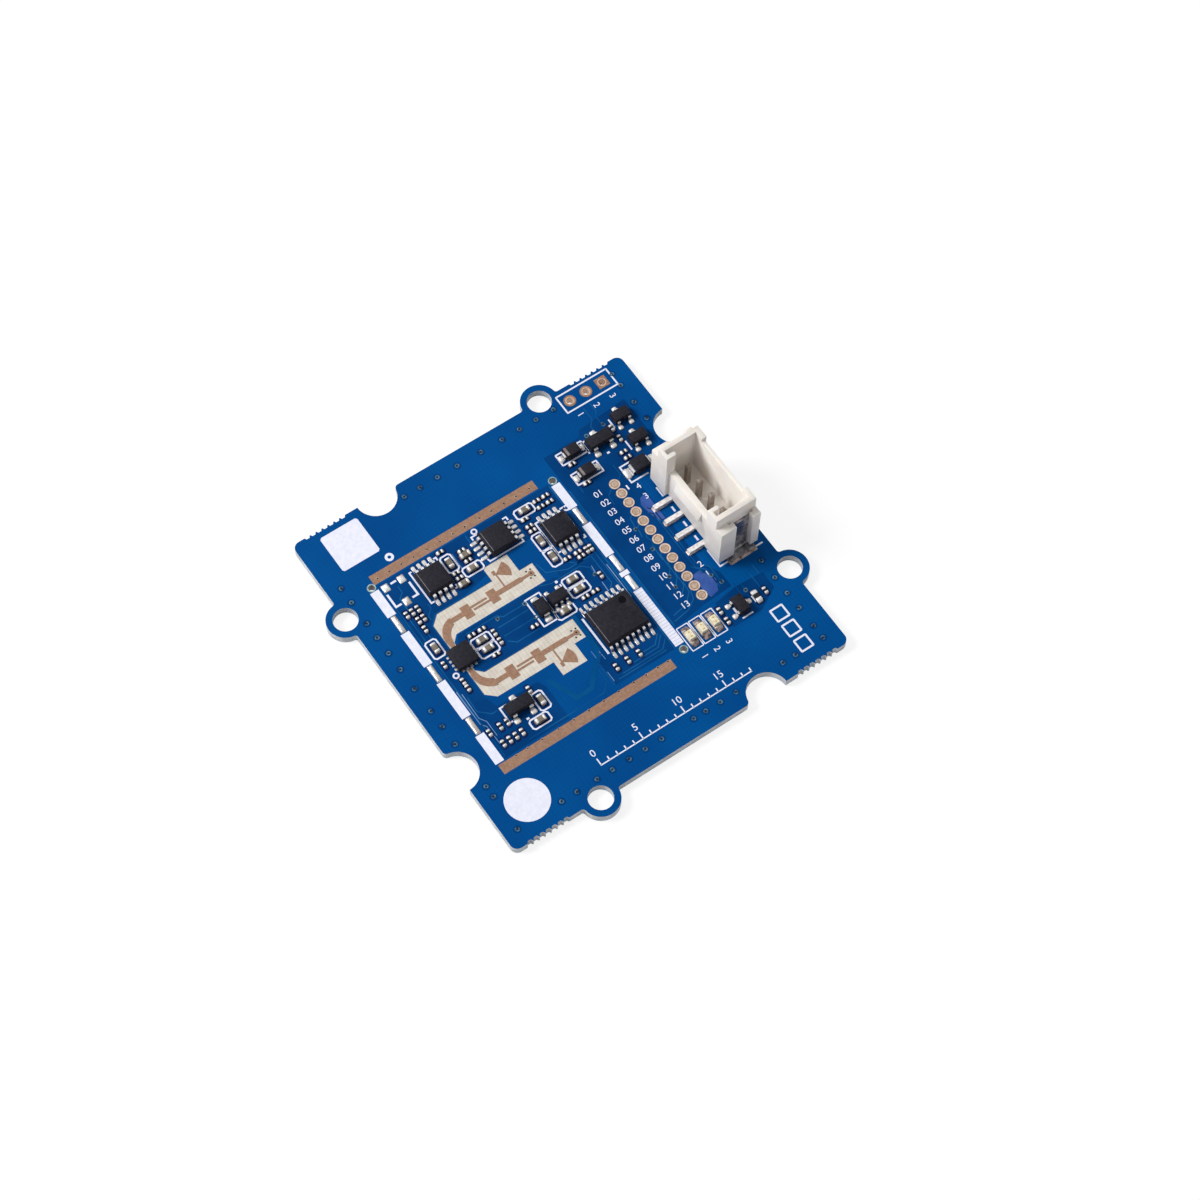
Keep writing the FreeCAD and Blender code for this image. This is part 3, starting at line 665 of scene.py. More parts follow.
# Painted light and shade by height: the contacts bright at their feet and darker up inside the housing, the
# joints and metal ends dark on their low fillets and bright on top
contact_metal = fillet_finish("contact_metal", 0.9, 2.2, srgb(216, 212, 209), srgb(150, 138, 126))
joint_solder = fillet_finish("joint_solder", 0.02, 0.1, srgb(112, 100, 98), srgb(240, 234, 229))
small_end_tin = fillet_finish("small_end_tin", 0.1, 0.22, srgb(96, 88, 92), srgb(250, 247, 245))
capacitor_end_tin = fillet_finish("capacitor_end_tin", 0.22, 0.46, srgb(112, 102, 98), srgb(250, 246, 241))
print_ink = simple_finish("white_print", (227, 228, 242), (236, 237, 250), 2500, 0.7, 0.0, 0.2)
ridge_ink = simple_finish("ridge_shade", (196, 198, 216), (210, 212, 230), 2500, 0.7, 0.0, 0.2)
band_ink = simple_finish("diode_band", (120, 112, 112), (146, 136, 134), 2500, 0.6, 0.0, 0.2)
epoxy = simple_finish("chip_moulding", (28, 28, 35), (40, 39, 48), 3500, 0.55, 0.0, 0.16)
# Painted highlight along the -X top edge of the marked chips
edge_highlight_grey = simple_finish("chip_edge_painted_highlight", (112, 108, 116), (140, 134, 142), 2500, 0.5, 0.0, 0.2)
dimple_black = simple_finish("dimple_shade", (12, 12, 16), (20, 19, 25), 2500, 0.7, 0.0, 0.05)
nylon = nylon_finish()
ceramic = simple_finish("capacitor_ceramic", (108, 100, 88), (136, 126, 112), 2500, 0.5, 0.0, 0.3)
glaze = simple_finish("resistor_glaze", (26, 26, 30), (40, 39, 44), 2500, 0.4, 0.0, 0.3)
light_base = simple_finish("light_base", (196, 186, 156), (214, 204, 176), 1500, 0.5, 0.0, 0.3)
light_resin = simple_finish("light_resin", (222, 210, 176), (246, 238, 214), 2600, 0.35, 0.0, 0.3)
die_amber = simple_finish("light_die", (186, 156, 96), (220, 194, 138), 5000, 0.3)

FINISHES = {
    "solder_mask": mask,
    "bare_copper": copper,
    "solder": solder_with_painted_sheen,
    "white_print": print_ink,
    "moulding": epoxy,
    "lead_frame": tin,
    "connector_plastic": nylon,
    "ceramic": ceramic,
    "resistor_glaze": glaze,
    "light_body": light_base,
    "light_lens": light_resin,
}
OWN_FINISHES = {"connector_contact_%d" % number: contact_metal for number in range(1, 5)}
OWN_FINISHES["connector_anchors"] = anchor_tin
for node, cad_part in frame["nodes"].items():
    cad_part.data.materials.clear()
    cad_part.data.materials.append(OWN_FINISHES.get(node, FINISHES[SLOTS[node]]))


# Copper and mask under the print

copper_free_areas = [
    [(-15.35, 11.4), (-4.95, 11.4), (-4.95, 7.3), (-5.75, 7.3), (-5.75, 6.3), (-8.75, 5.6), (-12.4, 5.6),
     (-13.35, 4.65), (-13.35, 1.25), (-14.0, 1.25), (-14.0, -1.3), (-13.35, -1.3), (-13.35, -4.65),
     (-12.9, -6.3), (-8.1, -6.3), (-7.7, -7.1), (-7.7, -11.35), (-15.35, -11.35)],
    [(-4.85, 11.4), (5.25, 11.4), (5.25, 2.0), (0.3, 2.0), (0.3, 7.3), (-4.85, 7.3)],
    [(-12.35, 1.35), (-11.7, 2.35), (-0.3, 2.35), (0.3, 1.95), (5.25, 1.95), (5.25, -10.95), (-1.9, -10.95),
     (-1.9, -7.9), (-0.95, -6.9), (-0.95, -2.35), (-11.7, -2.35), (-12.35, -1.7), (-12.35, -1.35),
     (-11.6, -1.3), (-11.6, 1.35)],
    [(6.55, 14.2), (11.0, 14.2), (11.4, 14.9), (17.4, 15.4), (17.4, 9.3), (13.0, 7.2), (13.0, -5.0),
     (13.9, -6.5), (13.9, -8.4), (10.4, -8.6), (6.55, -9.1)],
    [(11.4, -9.1), (14.2, -8.7), (17.4, -8.9), (17.4, -10.9), (14.9, -12.3), (11.4, -12.3)],
]
area_patches = patches("copper_free_areas", copper_free_areas, board_top, ground_edge)
finish_piece(area_patches, deep_mask)
resistor_solids = solids_of("resistors")
capacitor_solids = solids_of("capacitor_bodies")
capacitor_end_solids = solids_of("capacitor_ends")
# Patches round each resistor and capacitor end: real copper clearance, made darker as painted shadow round
# the parts
pad_clearances_and_shadows = []
for solids, along, across in ((resistor_solids, 0.36, 0.14), (capacitor_end_solids, 0.3, 0.12)):
    for middle, size in solids:
        lying = (size.x > size.y) == (solids is resistor_solids)
        half_x = size.x / 2 + (along if lying else across)
        half_y = size.y / 2 + (across if lying else along)
        outline = chamfered(middle.x - half_x, middle.x + half_x, middle.y - half_y, middle.y + half_y, 0.1)
        pad_clearances_and_shadows.append(outline[:-1])
clearance_and_shadow_patches = patches("pad_clearances_and_shadows", pad_clearances_and_shadows, board_top, clearance_and_shadow_height)
finish_piece(clearance_and_shadow_patches, clearance_and_shadow_mask)
power_areas = [
    [(11.3, -5.3), (12.2, -5.2), (13.1, -6.9), (12.5, -8.1), (11.5, -8.3), (11.3, -7.6)],
    [(12.1, 4.9), (12.9, 5.1), (12.9, 1.6), (12.3, 1.6), (11.9, 2.8), (11.7, 4.2)],
]
finish_piece(patches("power_areas", power_areas, board_top, trace_height), pale_mask)

traces = [
    [(-11.35, 0.75), (-10.95, 1.95), (-7.4, 1.95), (-6.9, 1.5), (-4.5, 1.5)],
    [(-8.0, 0.75), (-4.4, 0.75)],
    [(-8.0, -0.35), (-4.4, -0.35)],
    [(-8.0, -1.0), (-7.3, -1.6), (-4.6, -1.6)],
    [(-15.2, 11.2), (-15.2, -11.2)],
    [(5.2, 11.2), (5.2, -11.0)],
    [(6.62, 9.6), (6.62, -8.9)],
    [(-13.7, 10.2), (-13.7, 9.4), (-14.3, 8.9), (-14.3, 7.4)],
    [(-14.75, 6.6), (-14.75, 3.6)],
    [(-14.1, 4.3), (-14.1, 3.4)],
    [(-12.3, 6.9), (-12.3, 6.3), (-13.0, 5.7), (-13.0, 5.2)],
    [(-5.0, 7.35), (-5.0, 11.2)],
    [(-14.75, -3.9), (-14.8, -5.7), (-13.7, -6.7), (-13.1, -6.7)],
    [(-12.2, -11.0), (-3.4, -11.0), (-2.4, -10.1), (-2.4, -8.3), (-1.4, -7.3)],
    [(-2.0, -10.9), (-2.0, -8.1), (-1.15, -7.25)],
    [(-0.6, -10.3), (4.2, -10.3), (5.0, -9.5)],
    [(-1.3, -10.6), (4.4, -10.6)],
    [(0.9, -9.9), (3.9, -9.9), (4.9, -8.9)],
    [(2.4, -9.5), (3.8, -9.5), (4.7, -8.6)],
    [(-0.9, 4.6), (-0.6, 3.2), (1.4, 2.3), (3.3, 2.3)],
    [(-2.0, 2.3), (-0.9, 1.9), (2.6, 1.9), (3.4, 1.2), (3.4, 0.4)],
    [(2.0, 2.9), (2.6, 2.3), (4.5, 2.3)],
    [(4.2, 2.5), (4.2, -1.4), (3.6, -2.0), (3.6, -2.4)],
    [(4.75, 4.9), (4.75, -2.1), (4.3, -2.5)],
]
pad_fan = [
    [(10.3, 7.4), (9.6, 6.9), (9.5, 5.7)],
    [(10.3, 3.75), (9.9, 3.5), (9.7, 2.3)],
    [(10.3, 2.5), (9.9, 2.25), (9.7, 1.1)],
    [(10.3, 1.25), (10.05, 0.9), (10.25, 0.1), (9.8, -0.5)],
    [(10.3, 0.05), (10.0, -0.3), (9.9, -2.2)],
    [(10.4, -1.25), (10.05, -1.6), (9.95, -3.4), (9.4, -4.0)],
    [(10.4, -2.5), (10.1, -2.8), (9.95, -4.6), (9.3, -5.3)],
    [(10.4, -3.8), (10.1, -4.1), (10.0, -5.7), (9.2, -6.5)],
    [(10.4, -5.05), (10.15, -5.4), (10.0, -6.6), (8.9, -7.6), (7.2, -7.9)],
    [(10.4, -6.3), (10.15, -6.7), (9.9, -7.5), (8.8, -8.2), (6.9, -8.5)],
    [(11.75, 3.1), (12.15, 2.7), (12.15, -4.7), (12.9, -5.5), (12.9, -6.2)],
    [(12.0, 3.6), (12.45, 3.1), (12.45, -4.4), (13.35, -5.4), (13.35, -7.4)],
    [(11.8, -4.4), (12.35, -5.1), (12.35, -5.6)],
]
edge_lines = [
    [(7.7, 9.3), (7.7, 8.6)],
    [(12.0, 9.6), (12.0, 8.3), (11.6, 7.9)],
    [(12.9, -6.5), (12.9, -7.8)],
    [(14.8, -8.6), (14.8, -9.5)],
    [(16.2, -8.3), (16.2, -10.2)],
    [(14.2, -8.2), (14.2, -9.7), (13.7, -10.1)],
    [(17.0, -7.6), (17.0, -8.8)],
    [(13.3, 16.8), (13.3, 15.2), (12.7, 14.6), (12.7, 14.0)],
    [(14.2, 16.9), (14.2, 15.8), (13.8, 15.2), (13.8, 14.2)],
]
signal_strokes = strokes("signal_traces", traces + pad_fan + edge_lines, trace_width, board_top, trace_height)
finish_piece(signal_strokes, trace_mask)
# Traces whose light blue is partly mask over copper and partly painted highlight
highlighted_traces = [
    [(-15.3, -2.8), (-15.3, -7.0), (-14.9, -7.55), (-14.85, -9.8)],
    [(-15.0, -3.3), (-15.05, -6.4), (-14.6, -7.1), (-14.6, -8.9)],
    [(-7.25, 10.2), (-7.3, 8.2)],
    [(3.6, 1.3), (3.5, 0.5)],
    [(3.45, -0.8), (3.4, -2.0)],
    [(4.95, 0.6), (4.95, -3.8)],
    [(-1.85, -6.55), (-1.85, -7.45)],
    [(-1.8, -9.3), (-1.8, -10.5)],
    [(-1.2, -7.0), (-1.15, -8.05)],
]
highlighted_trace_strokes = strokes("highlighted_traces", highlighted_traces, highlighted_trace_width, board_top, trace_height)
finish_piece(highlighted_trace_strokes, highlighted_trace_mask)
supply_band = [[(-7.2, -6.7), (-5.9, -9.9), (-4.1, -9.9), (-1.35, -7.0), (-1.1, -5.3), (-1.1, -2.4)]]
band_strokes = strokes("supply_band", supply_band, supply_band_width, board_top, height=0.01)
finish_piece(band_strokes, band_mask)


# Holes and vias

top_via_x = (-7.6, -5.7, -3.6, -1.2, 1.7, 4.3, 6.45, 8.5, 10.65)
left_via_y = (13.15, 11.25, 8.45, 6.55, 4.5, 2.35, -0.2, -3.1, -5.1, -7.4, -12.8, -14.1)
bottom_via_x = (-18.5, -13.35, -11.55, -9.2, -7.4, -5.4, -3.5, -1.55, 2.3, 3.75, 5.5, 7.4, 13.1, 14.65)
right_via_y = (18.5, 16.9, 14.5, 12.2, -7.8, -10.1, -12.2, -14.2, -16.6, -18.2)
stitching_vias = [(x, 18.4) for x in top_via_x] + [(-18.5, y) for y in left_via_y]
stitching_vias += [(x, -18.2) for x in bottom_via_x] + [(18.05, y) for y in right_via_y]
small_vias = [
    (-7.5, 1.6), (-4.35, 1.5), (-4.2, -0.35), (3.35, 0.3), (9.65, 2.2), (9.75, -0.6), (9.35, -4.1),
    (9.2, -5.4), (12.9, -6.3), (13.35, -7.5), (14.8, -9.6), (11.7, 13.9), (13.9, 14.1),
]
stitching_spots = unturned(stitching_vias)
via_spots = unturned(stitching_vias + small_vias)

shades = dish("via_shades", via_shade, board_top, height=0.006, rim=0.02, depth=0.001)
finish_copies(shades, stitching_spots, deep_mask)
via_rings = ring("via_rings", via_outer, via_inner, board_top, ring_height, 16)
smooth(via_rings)
finish_copies(via_rings, via_spots, via_mask_and_glints)
via_holes = dish("via_holes", via_inner + 0.01, board_top, ring_height * 0.6, rim=0.03, depth=0.015, sides=12)
finish_copies(via_holes, via_spots, hole_dark)
back_vias = dish("back_vias", via_outer, back_level, height=0.02, rim=0.05, depth=0.01, sides=16)
finish_copies(back_vias, stitching_spots, deep_mask)

rail_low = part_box("bottom_ground_rail")[0]
rail_left = rail_low.x / MM
rail_bottom = rail_low.y / MM
rail_end = [
    (rail_left - rail_end_length, rail_bottom),
    (rail_left, rail_bottom),
    (rail_left, rail_end_top),
    (rail_left - rail_end_length, rail_end_top),
]
finish_piece(patches("bottom_rail_end", [rail_end], board_top, ground_edge), copper)
top_rail_x = (-14.9, -13.5, -12.0, -10.6, -9.0, -7.4, -5.9, -4.4, -2.7, -1.25, 0.3, 1.75, 3.4)
bottom_rail_x = (-14.25, -12.9, -11.2, -9.25, -7.45, -5.7, -3.9, -2.1, -0.3, 1.2, 2.55, 3.8)
rail_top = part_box("top_ground_rail")[1].z / MM
rail_vias = unturned([(x, 12.1) for x in top_rail_x] + [(x, -11.7) for x in bottom_rail_x])
feed_end = (-1.87, 4.0)
feed_places = (feed_end, (-2.2, 4.43), (-1.7, 4.43), (-2.2, 3.57), (-1.7, 3.57))
feed_vias = unturned([(x, side * y) for side in (-1, 1) for x, y in feed_places])
holes = dish("rail_via_holes", rail_via_hole, rail_top, height=0.008, rim=0.02, depth=0.004, sides=12)
finish_copies(holes, rail_vias + feed_vias, hole_dark)
# Lips round the rail vias, with painted highlight specks
lips = ring("rail_via_lips", 0.14, rail_via_hole, rail_top, height=0.012, sides=14)
finish_copies(lips, rail_vias, lip_copper)
feed_pads = ring("feed_via_pads", 0.3, 0.1, rail_top, height=0.006, sides=20)
feed_ends = unturned([(feed_end[0], side * feed_end[1]) for side in (1, -1)])
finish_copies(feed_pads, feed_ends, copper)


def barrel(name, radius, wall):
    """Plating on the wall of a hole, right through the board."""
    piece = ring(name, radius, radius - wall, z=0, height=board_top, sides=32)
    smooth(piece)
    return piece


def ring_pair(name, outer, inner, sides=28):
    """The two rings that show round a plated hole, on the top and on the back."""
    top = ring(name, outer, inner, board_top, ring_height, sides)
    back = ring(name, outer, inner, back_level, 0.03, sides)
    return join(name, [top, back])


shield_holes = [(-15.98, 11.5), (5.85, 11.5), (5.85, -11.5)]
header_holes = [(12.65, 18.3), (14.65, 18.3), (16.65, 18.3)]
shield_spots = unturned(shield_holes)
header_spots = unturned(header_holes)
header_ring_inner = 0.39
rings = ring_pair("shield_hole_rings", 0.47, 0.34)
finish_copies(rings, shield_spots, pale_tin)
barrels = barrel("shield_hole_barrels", radius=0.358, wall=0.03)
finish_copies(barrels, shield_spots, shaded_barrel_metal)
rings = ring_pair("header_round_pads", 0.66, header_ring_inner)
finish_copies(rings, header_spots[:2], copper)
rings = ring_pair("header_square_pad", 0.64 * math.sqrt(2), header_ring_inner, 4)
finish_copies(rings, [header_holes[2] + (45,)], copper)
barrels = barrel("header_hole_barrels", radius=0.418, wall=0.04)
finish_copies(barrels, header_spots, lit_barrel_copper)
# Painted highlight: a light ring round the edge of each header hole
lips = ring("header_hole_lip_highlights", 0.47, 0.38, board_top, ring_height + 0.01, 28)
finish_copies(lips, header_spots, lit_barrel_copper)

pad_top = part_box("test_pads")[1].z / MM
pad_spots = unturned([(middle.x, middle.y) for middle, size in solids_of("test_pads")])
plugs = dish("test_pad_plugs", 0.34, pad_top, height=0.02, rim=0.06, depth=0.012, sides=24)
finish_copies(plugs, pad_spots, pale_copper)
rims = ring("test_pad_rims", 0.57, 0.42, pad_top, height=0.01, sides=28)
finish_copies(rims, pad_spots, pad_copper_and_highlight)


# Fine print on the component side


def print_lines(name, paths, width):
    """White lines of raised print that follow the paths."""
    finish_piece(strokes(name, paths, width, board_top, print_height), print_ink)


def capsule(x, y, length, width, degrees=0):
    """Frame with cut corners round a capacitor."""
    half_x, half_y = (length / 2, width / 2) if degrees == 0 else (width / 2, length / 2)
    return chamfered(x - half_x, x + half_x, y - half_y, y + half_y, 0.2)


capacitor_frames = [
    chamfered(-11.2, -9.05, -0.12, 1.08, 0.2),
    chamfered(-11.2, -9.05, -1.32, -0.12, 0.2),
    chamfered(0.05, 2.2, 0.38, 1.6, 0.2),
    chamfered(0.05, 2.2, -0.84, 0.38, 0.2),
    capsule(-14.45, 2.3, 2.1, 1.25, 90),
    capsule(-8.03, 9.45, 2.05, 1.2, 90),
    capsule(0.95, 6.35, 2.1, 1.2, 90),
    capsule(0.95, 4.25, 2.1, 1.2, 90),
    capsule(-8.95, -8.2, 2.1, 1.2, 90),
    capsule(-6.38, 7.67, 2.15, 1.1),
    capsule(1.52, 10.2, 2.15, 1.1),
    capsule(-1.42, -1.52, 2.15, 1.12),
    capsule(-10.2, -9.95, 2.15, 1.1),
]
diode_frames = [
    chamfered(-4.15, -2.45, -1.7, 1.75, 0.03),
    chamfered(7.75, 10.85, 12.35, 13.75, 0.03),
    chamfered(7.75, 10.85, 9.6, 11.0, 0.03),
    [(14.5, 8.95), (12.4, 8.95), (12.4, 6.85), (14.5, 6.85)],
]
light_places = (7.15, 8.62, 10.09)
light_frames = [chamfered(x - 0.65, x + 0.65, -12.2, -9.3, 0.05) for x in light_places]
chip_brackets = [
    [(-11.7, 10.8), (-11.95, 10.8), (-11.95, 6.75), (-11.6, 6.75)],
    [(-9.1, 10.8), (-8.8, 10.8), (-8.8, 10.4)],
    [(-9.1, 6.8), (-8.8, 6.8), (-8.8, 7.2)],
    [(-4.6, 10.3), (-4.6, 10.7), (-3.9, 10.7)],
    [(-0.85, 10.7), (-0.4, 10.7), (-0.4, 10.3)],
    [(-4.6, 7.8), (-4.5, 7.4), (-0.45, 7.4), (-0.45, 7.8)],
    [(2.0, 8.4), (1.62, 8.4), (1.62, 4.35), (2.0, 4.35)],
    [(4.6, 8.4), (5.0, 8.4), (5.0, 8.1)],
    [(4.75, 4.35), (5.0, 4.35), (5.0, 4.7)],
    [(-12.0, -6.65), (-12.8, -6.65), (-12.8, -8.5), (-12.45, -8.5)],
    [(-9.6, -6.65), (-9.45, -6.9), (-9.45, -7.2)],
    [(11.35, 13.5), (10.8, 13.5), (10.8, 12.0)],
    [(14.65, 14.25), (14.65, 13.05)],
    [(14.65, 11.2), (14.65, 10.0)],
    [(-2.42, 1.3), (-2.42, -0.8)],
    [(-0.2, 1.35), (-0.2, -0.2)],
    [(14.9, -10.45), (14.9, -11.25)],
    [(12.7, -12.0), (14.0, -12.0)],
    [(14.0, -9.75), (12.75, -9.75)],
    [(11.75, 6.35), (11.75, 6.9)],
]
connector_print = [
    [(14.15, 5.0), (14.15, 3.75)],
    [(15.2, -6.0), (14.25, -6.0), (14.25, -3.8)],
    [(18.3, -6.15), (19.4, -6.15)],
    [(18.3, 6.15), (19.4, 6.15)],
]
header_frame = [chamfered(11.65, 17.9, 17.2, 19.4, 0.02)]
frames = capacitor_frames + diode_frames + chip_brackets + connector_print + header_frame
print_lines("print_frames", frames, fine_line)
print_lines("status_light_frames", light_frames, light_frame_line)

heavy_marks = [
    [(-15.1, 10.0), (-15.1, 8.35), (-14.45, 8.35)],
    [(-12.5, 10.0), (-12.5, 8.35), (-13.15, 8.35)],
    [(-14.15, 10.85), (-13.5, 10.85)],
    [(-0.55, -3.1), (-0.55, -7.75)],
    [(12.3, 11.05), (12.6, 11.05)],
    [(-11.25, -9.1), (-10.95, -9.1)],
    [(12.6, -10.55), (12.6, -11.2)],
    [(14.16, 2.3), (14.16, 1.65)],
    [(14.16, 0.25), (14.16, -0.4)],
    [(14.16, -1.7), (14.16, -2.35)],
]
print_lines("print_marks", heavy_marks, mark_line)

bar_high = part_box("shield_marking")[1]
bar_right = bar_high.x / MM
ridge_rows = [ridge_first_y - ridge_pitch * step for step in range(ridge_count)]
ridges = [[(bar_right - 0.96, y), (bar_right - 0.02, y)] for y in ridge_rows]
ridge_strokes = strokes("bar_ridges", ridges, width=0.07, z=bar_high.z / MM, height=0.006)
finish_piece(ridge_strokes, ridge_ink)

pin_marks = [circle_path(x, y, radius=0.27) for x, y in ((-14.35, -1.3), (-4.0, 11.1), (5.25, 8.15))]
print_lines("pin_one_rings", pin_marks, fine_line)
placing_ring = ring("placing_ring", 0.47, 0.19, board_top, print_height, 28)
finish_copies(placing_ring, unturned([(-12.6, 13.45)]), print_ink)
dot = dish("switch_chip_dot", 0.16, board_top, print_height, rim=0.03, depth=0.001)
finish_copies(dot, unturned([(-0.35, 1.75)]), print_ink)

pad_rows = sorted((spot[1] for spot in pad_spots), reverse=True)
pad_labels = [("%02d" % number, 9.35, y, 0, "RIGHT") for number, y in enumerate(pad_rows, 1)]
connector_rows = (("4", 6.1), ("3", 4.75), ("2", -4.7), ("1", -6.0))
connector_labels = [(text, 12.5, y, 0, "LEFT") for text, y in connector_rows]
header_labels = [(str(number), x, 16.35, -90, "CENTER") for number, (x, y) in enumerate(header_holes, 1)]
light_labels = [(str(number), x, -13.3, -90, "CENTER") for number, x in enumerate(light_places, 1)]
labels = pad_labels + connector_labels + header_labels + light_labels
finish_piece(numbers("position_numbers", labels, label_size), print_ink)

# Millimetre scale, blocks to write on and boxes to tick
scale_lines = [[(scale_left - scale_overrun, scale_y), (scale_left + scale_length + scale_overrun, scale_y)]]
scale_ticks = []
for step in range(scale_length + 1):
    tick = 0.8 if step % 5 == 0 else 0.45
    scale_ticks.append([(scale_left + step, scale_y), (scale_left + step, scale_y + tick)])
print_lines("print_scale", scale_ticks + scale_lines, width=0.13)
scale_numbers = [(str(step), scale_left + step, scale_y + 1.45, 0, "CENTER") for step in (0, 5, 10, 15)]
finish_piece(numbers("scale_numbers", scale_numbers, size=1.1), print_ink)
blocks = [
    chamfered(-17.3, -12.9, 14.6, 19.1, 0.2)[:-1],
    circle_path(-16.0, -16.2, 2.3, 36)[:-1],
]
finish_piece(patches("writing_blocks", blocks, board_top, print_height), print_ink)
tick_boxes = [chamfered(15.4, 16.8, y - 0.7, y + 0.7, 0.05) for y in (-13.6, -15.6, -17.6)]
print_lines("tick_boxes", tick_boxes, width=0.2)


# Solder joints and metal ends

moulded_nodes = [node for node in frame["nodes"] if SLOTS[node] == "moulding"]
bodies = [solid for node in moulded_nodes for solid in solids_of(node)]


def foot_joints(name, leads, overhang, extra_width, height):
    """A solder joint under the foot of every lead, reaching a little beyond it."""
    joints = []
    for node in leads:
        for middle, size in solids_of(node):
            degrees = outward(middle, bodies)
            along, across = (size.x, size.y) if degrees % 180 == 0 else (size.y, size.x)
            length = 0.55 * along + overhang
            joint = mound(name, length, across + 2 * extra_width, height, board_top)
            spot = end_spot(middle, size, degrees, length / 2 - overhang)
            joints.append(place_copies(joint, [spot]))
    finish_piece(join(name, joints), joint_solder)


chip_leads = [node for node in frame["nodes"] if node.endswith(("amplifier_leads", "controller_leads"))]
small_chips = ("transistor", "switch_chip", "lower_regulator", "upper_regulator")
small_leads = [node for node in frame["nodes"] if node.startswith(small_chips) and node.endswith("_leads")]
foot_joints("chip_foot_joints", chip_leads, overhang=0.16, extra_width=0.05, height=0.11)
foot_joints("small_foot_joints", small_leads, overhang=0.26, extra_width=0.13, height=0.2)
foot_joints("diode_foot_joints", ["diode_leads"], overhang=0.25, extra_width=0.12, height=0.24)

resistor_ends = []
for middle, size in resistor_solids:
    lying = size.x > size.y
    length, width = (size.x, size.y) if lying else (size.y, size.x)
    reach = 0.3 * width + 0.08
    cap = solder_end("resistor_ends", 0.3 * length, reach, width=width + 0.08, height=size.z + 0.03, toe=0.1)
    spots = [end_spot(middle, size, degrees) for degrees in ((0, 180) if lying else (90, 270))]
    resistor_ends.append(place_copies(cap, spots))
finish_piece(join("resistor_ends", resistor_ends), small_end_tin)

cap_spots = []
for middle, size in capacitor_end_solids:
    cap_spots.append(end_spot(middle, size, outward(middle, capacitor_solids)))
cap = solder_end("capacitor_metal_ends", cap=0.25, reach=0.16, width=0.57, height=0.515, toe=0.1)
finish_copies(cap, cap_spots, capacitor_end_tin, ["capacitor_ends"])

banded_diodes = [solids_of("diode_2_body")[0], solids_of("diode_3_body")[0]]
band_spots = unturned([(middle.x - 0.36 * size.x, middle.y) for middle, size in banded_diodes])
body_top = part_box("diode_2_body")[1].z / MM
band = mound("diode_bands", length=0.28, width=1.0, height=0.012, z=body_top)
finish_copies(band, band_spots, band_ink)

contact_feet = []
for number in range(1, 5):
    low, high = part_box("connector_contact_%d" % number)
    contact_feet.append((low.x / MM + 0.72, (low.y + high.y) / 2 / MM))
# Low dark pads beside the contact tails: partly solder, partly painted shadow of the tails
contact_joint_and_shadow = mound("contact_foot_joints_and_shadows", length=1.7, width=0.66, height=0.07, z=board_top, corner=0.12)
finish_copies(contact_joint_and_shadow, unturned(contact_feet), brown_tin_and_shadow)
anchor_low, anchor_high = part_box("connector_anchors")
anchor_x = (anchor_low.x + anchor_high.x) / 2 / MM
anchor_y = anchor_high.y / MM - 0.35
anchor_length = (anchor_high.x - anchor_low.x) / MM + 0.35
anchor_joint = mound("anchor_foot_joints", anchor_length, width=1.2, height=0.1, z=board_top, corner=0.08)
anchor_spots = unturned([(anchor_x, side * anchor_y) for side in (-1, 1)])
finish_copies(anchor_joint, anchor_spots, brown_tin_and_shadow)


# Status lights: metal ends and the two small points in the resin

light_spots = []
for number in (1, 2, 3):
    low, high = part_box("status_light_%d_base" % number)
    middle_x = (low.x + high.x) / 2 / MM
    light_spots += [(middle_x, high.y / MM, 90), (middle_x, low.y / MM, 270)]
light_end = solder_end("status_light_ends", cap=0.24, reach=0.4, width=0.84, height=0.34, toe=0.1)
finish_copies(light_end, light_spots, brown_tin_and_shadow)
lens_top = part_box("status_light_1_lens")[1].z / MM
die_spots = unturned([(x, -10.75 + side * 0.26) for x in light_places for side in (-1, 1)])
die = mound("status_light_dies", length=0.24, width=0.18, height=0.012, z=lens_top - 0.001)
finish_copies(die, die_spots, die_amber)


# Chips and connector with their moulded edges


def lit_edge(piece):
    """Painted highlight: a light line along the side of a chip's top face that lies furthest to -X."""
    corners = [vertex.co / MM for vertex in piece.data.vertices]
    top = max(corner.z for corner in corners)
    rim = [corner for corner in corners if corner.z > top - 0.005]
    left = min(corner.x for corner in rim)
    rows = [corner.y for corner in rim]
    line = [(left, min(rows)), (left, max(rows))]
    return strokes("chip_top_edges", [line], width=0.06, z=top, height=0.003)


top_edge_highlights = []
for node in moulded_nodes:
    piece = softened(node, node + "_moulded", 0.05, epoxy)
    if node.endswith(("amplifier_body", "controller_body")):
        top_edge_highlights.append(lit_edge(piece))
finish_piece(join("chip_top_edges", top_edge_highlights), edge_highlight_grey)

# Name, place, radius and floor of the dimples that mark the first lead
dimples = [
    ("controller_dimple", (3.65, -4.0), 0.39, 2.06),
    ("right_amplifier_dimple", (4.14, 7.26), 0.26, 1.99),
]
for name, place, radius, dimple_floor in dimples:
    dimple = dish(name, radius, dimple_floor, height=0.012, rim=0.05, depth=0.008, sides=24)
    finish_copies(dimple, unturned([place]), dimple_black)
softened("connector_housing", "connector_housing_moulded", 0.08, nylon)
softened("shield_solder", "shield_solder_set", 0.09, solder_with_painted_sheen, 3)
softened("spare_solder_pads", "spare_solder_set", 0.08, solder_with_painted_sheen, 3)


# Floor, light and camera


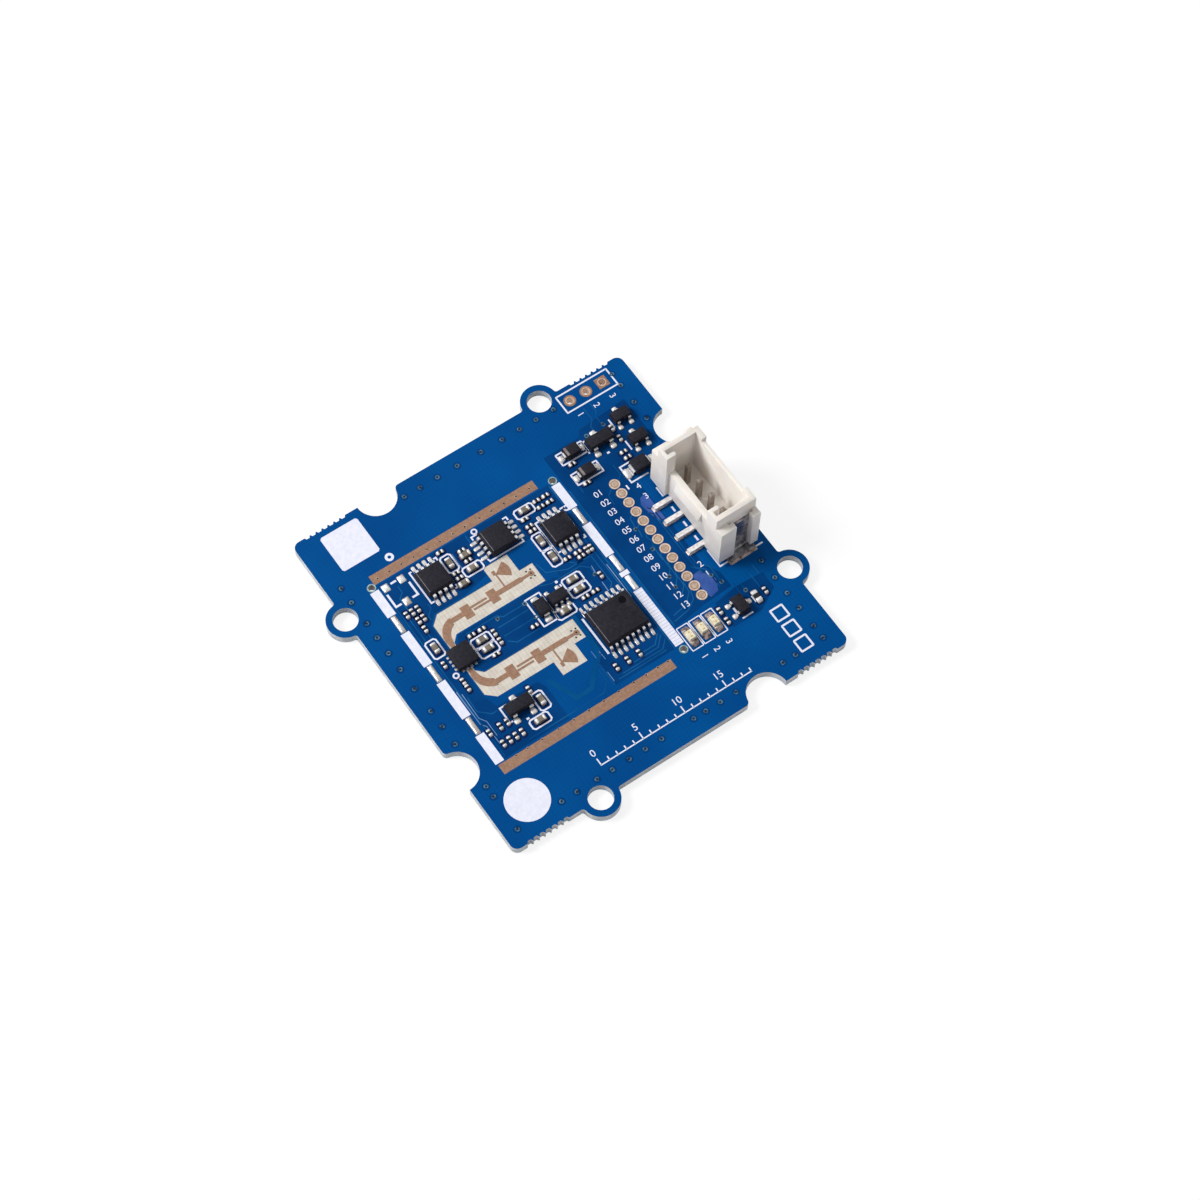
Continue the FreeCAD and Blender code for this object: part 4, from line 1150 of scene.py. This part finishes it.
def paper_floor():
    """Pale floor that looks white to the camera and keeps a light shadow."""
    deselect()
    bpy.ops.mesh.primitive_plane_add(size=floor_size, location=(0, 0, floor_level))
    floor = bpy.context.object
    floor.name = "floor"
    material = bpy.data.materials.new("floor_paper")
    material.use_nodes = True
    tree = material.node_tree
    tree.nodes.clear()
    path = add_node(tree, "ShaderNodeLightPath")
    seen = calculated(tree, "MAXIMUM", path.outputs["Is Camera Ray"], path.outputs["Is Glossy Ray"])
    seen = calculated(tree, "MAXIMUM", seen, path.outputs["Is Transmission Ray"])
    white_share = calculated(tree, "MULTIPLY", seen, 0.75)
    paper = add_node(tree, "ShaderNodeBsdfDiffuse", {"Color": (0.85, 0.85, 0.85, 1)})
    white = add_node(tree, "ShaderNodeEmission", {"Color": (1, 1, 1, 1), "Strength": 1.08})
    both = add_node(tree, "ShaderNodeMixShader", {0: white_share, 1: paper.outputs[0], 2: white.outputs[0]})
    add_node(tree, "ShaderNodeOutputMaterial", {"Surface": both.outputs[0]})
    floor.data.materials.append(material)
    floor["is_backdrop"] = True


def studio_world():
    """Soft light from all round, with pure white behind the object."""
    world = bpy.data.worlds.new("studio")
    bpy.context.scene.world = world
    world.use_nodes = True
    tree = world.node_tree
    tree.nodes.clear()
    path = add_node(tree, "ShaderNodeLightPath")
    soft = add_node(tree, "ShaderNodeBackground", {"Color": (0.97, 0.98, 1, 1), "Strength": 0.42})
    white = add_node(tree, "ShaderNodeBackground", {"Color": (1, 1, 1, 1), "Strength": 1})
    seen = path.outputs["Is Camera Ray"]
    both = add_node(tree, "ShaderNodeMixShader", {0: seen, 1: soft.outputs[0], 2: white.outputs[0]})
    add_node(tree, "ShaderNodeOutputWorld", {"Surface": both.outputs[0]})


def area_lamp(name, position, size, power):
    """Round lamp that looks at the part; its place and size are in metres, its power in watts."""
    data = bpy.data.lights.new(name, "AREA")
    data.shape = "DISK"
    data.size = size
    data.energy = power
    lamp = bpy.data.objects.new(name, data)
    bpy.context.collection.objects.link(lamp)
    lamp.location = position
    lamp.rotation_euler = (-Vector(position)).to_track_quat("-Z", "Y").to_euler()


def photo_camera():
    """Camera that sees the part as the photograph does."""
    azimuth = math.radians(camera_azimuth)
    elevation = math.radians(camera_elevation)
    back = Vector((
        math.sin(azimuth) * math.cos(elevation),
        -math.cos(azimuth) * math.cos(elevation),
        math.sin(elevation),
    ))
    data = bpy.data.cameras.new("photo_camera")
    data.lens = camera_lens
    data.sensor_width = 36
    data.clip_start = 0.01
    camera = bpy.data.objects.new("photo_camera", data)
    bpy.context.collection.objects.link(camera)
    camera.location = (Vector(look_at) + back * camera_distance) * MM
    roll = Quaternion((0, 0, 1), math.radians(camera_roll))
    camera.rotation_euler = ((-back).to_track_quat("-Z", "Y") @ roll).to_euler()
    bpy.context.scene.camera = camera


paper_floor()
studio_world()
area_lamp("key_lamp", (-0.45, 0.3, 0.5), size=0.3, power=4.5)
area_lamp("sky_lamp", (0.05, 0.45, 0.65), size=0.25, power=0.7)
photo_camera()
bpy.context.scene.view_settings.view_transform = "Standard"

low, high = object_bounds()
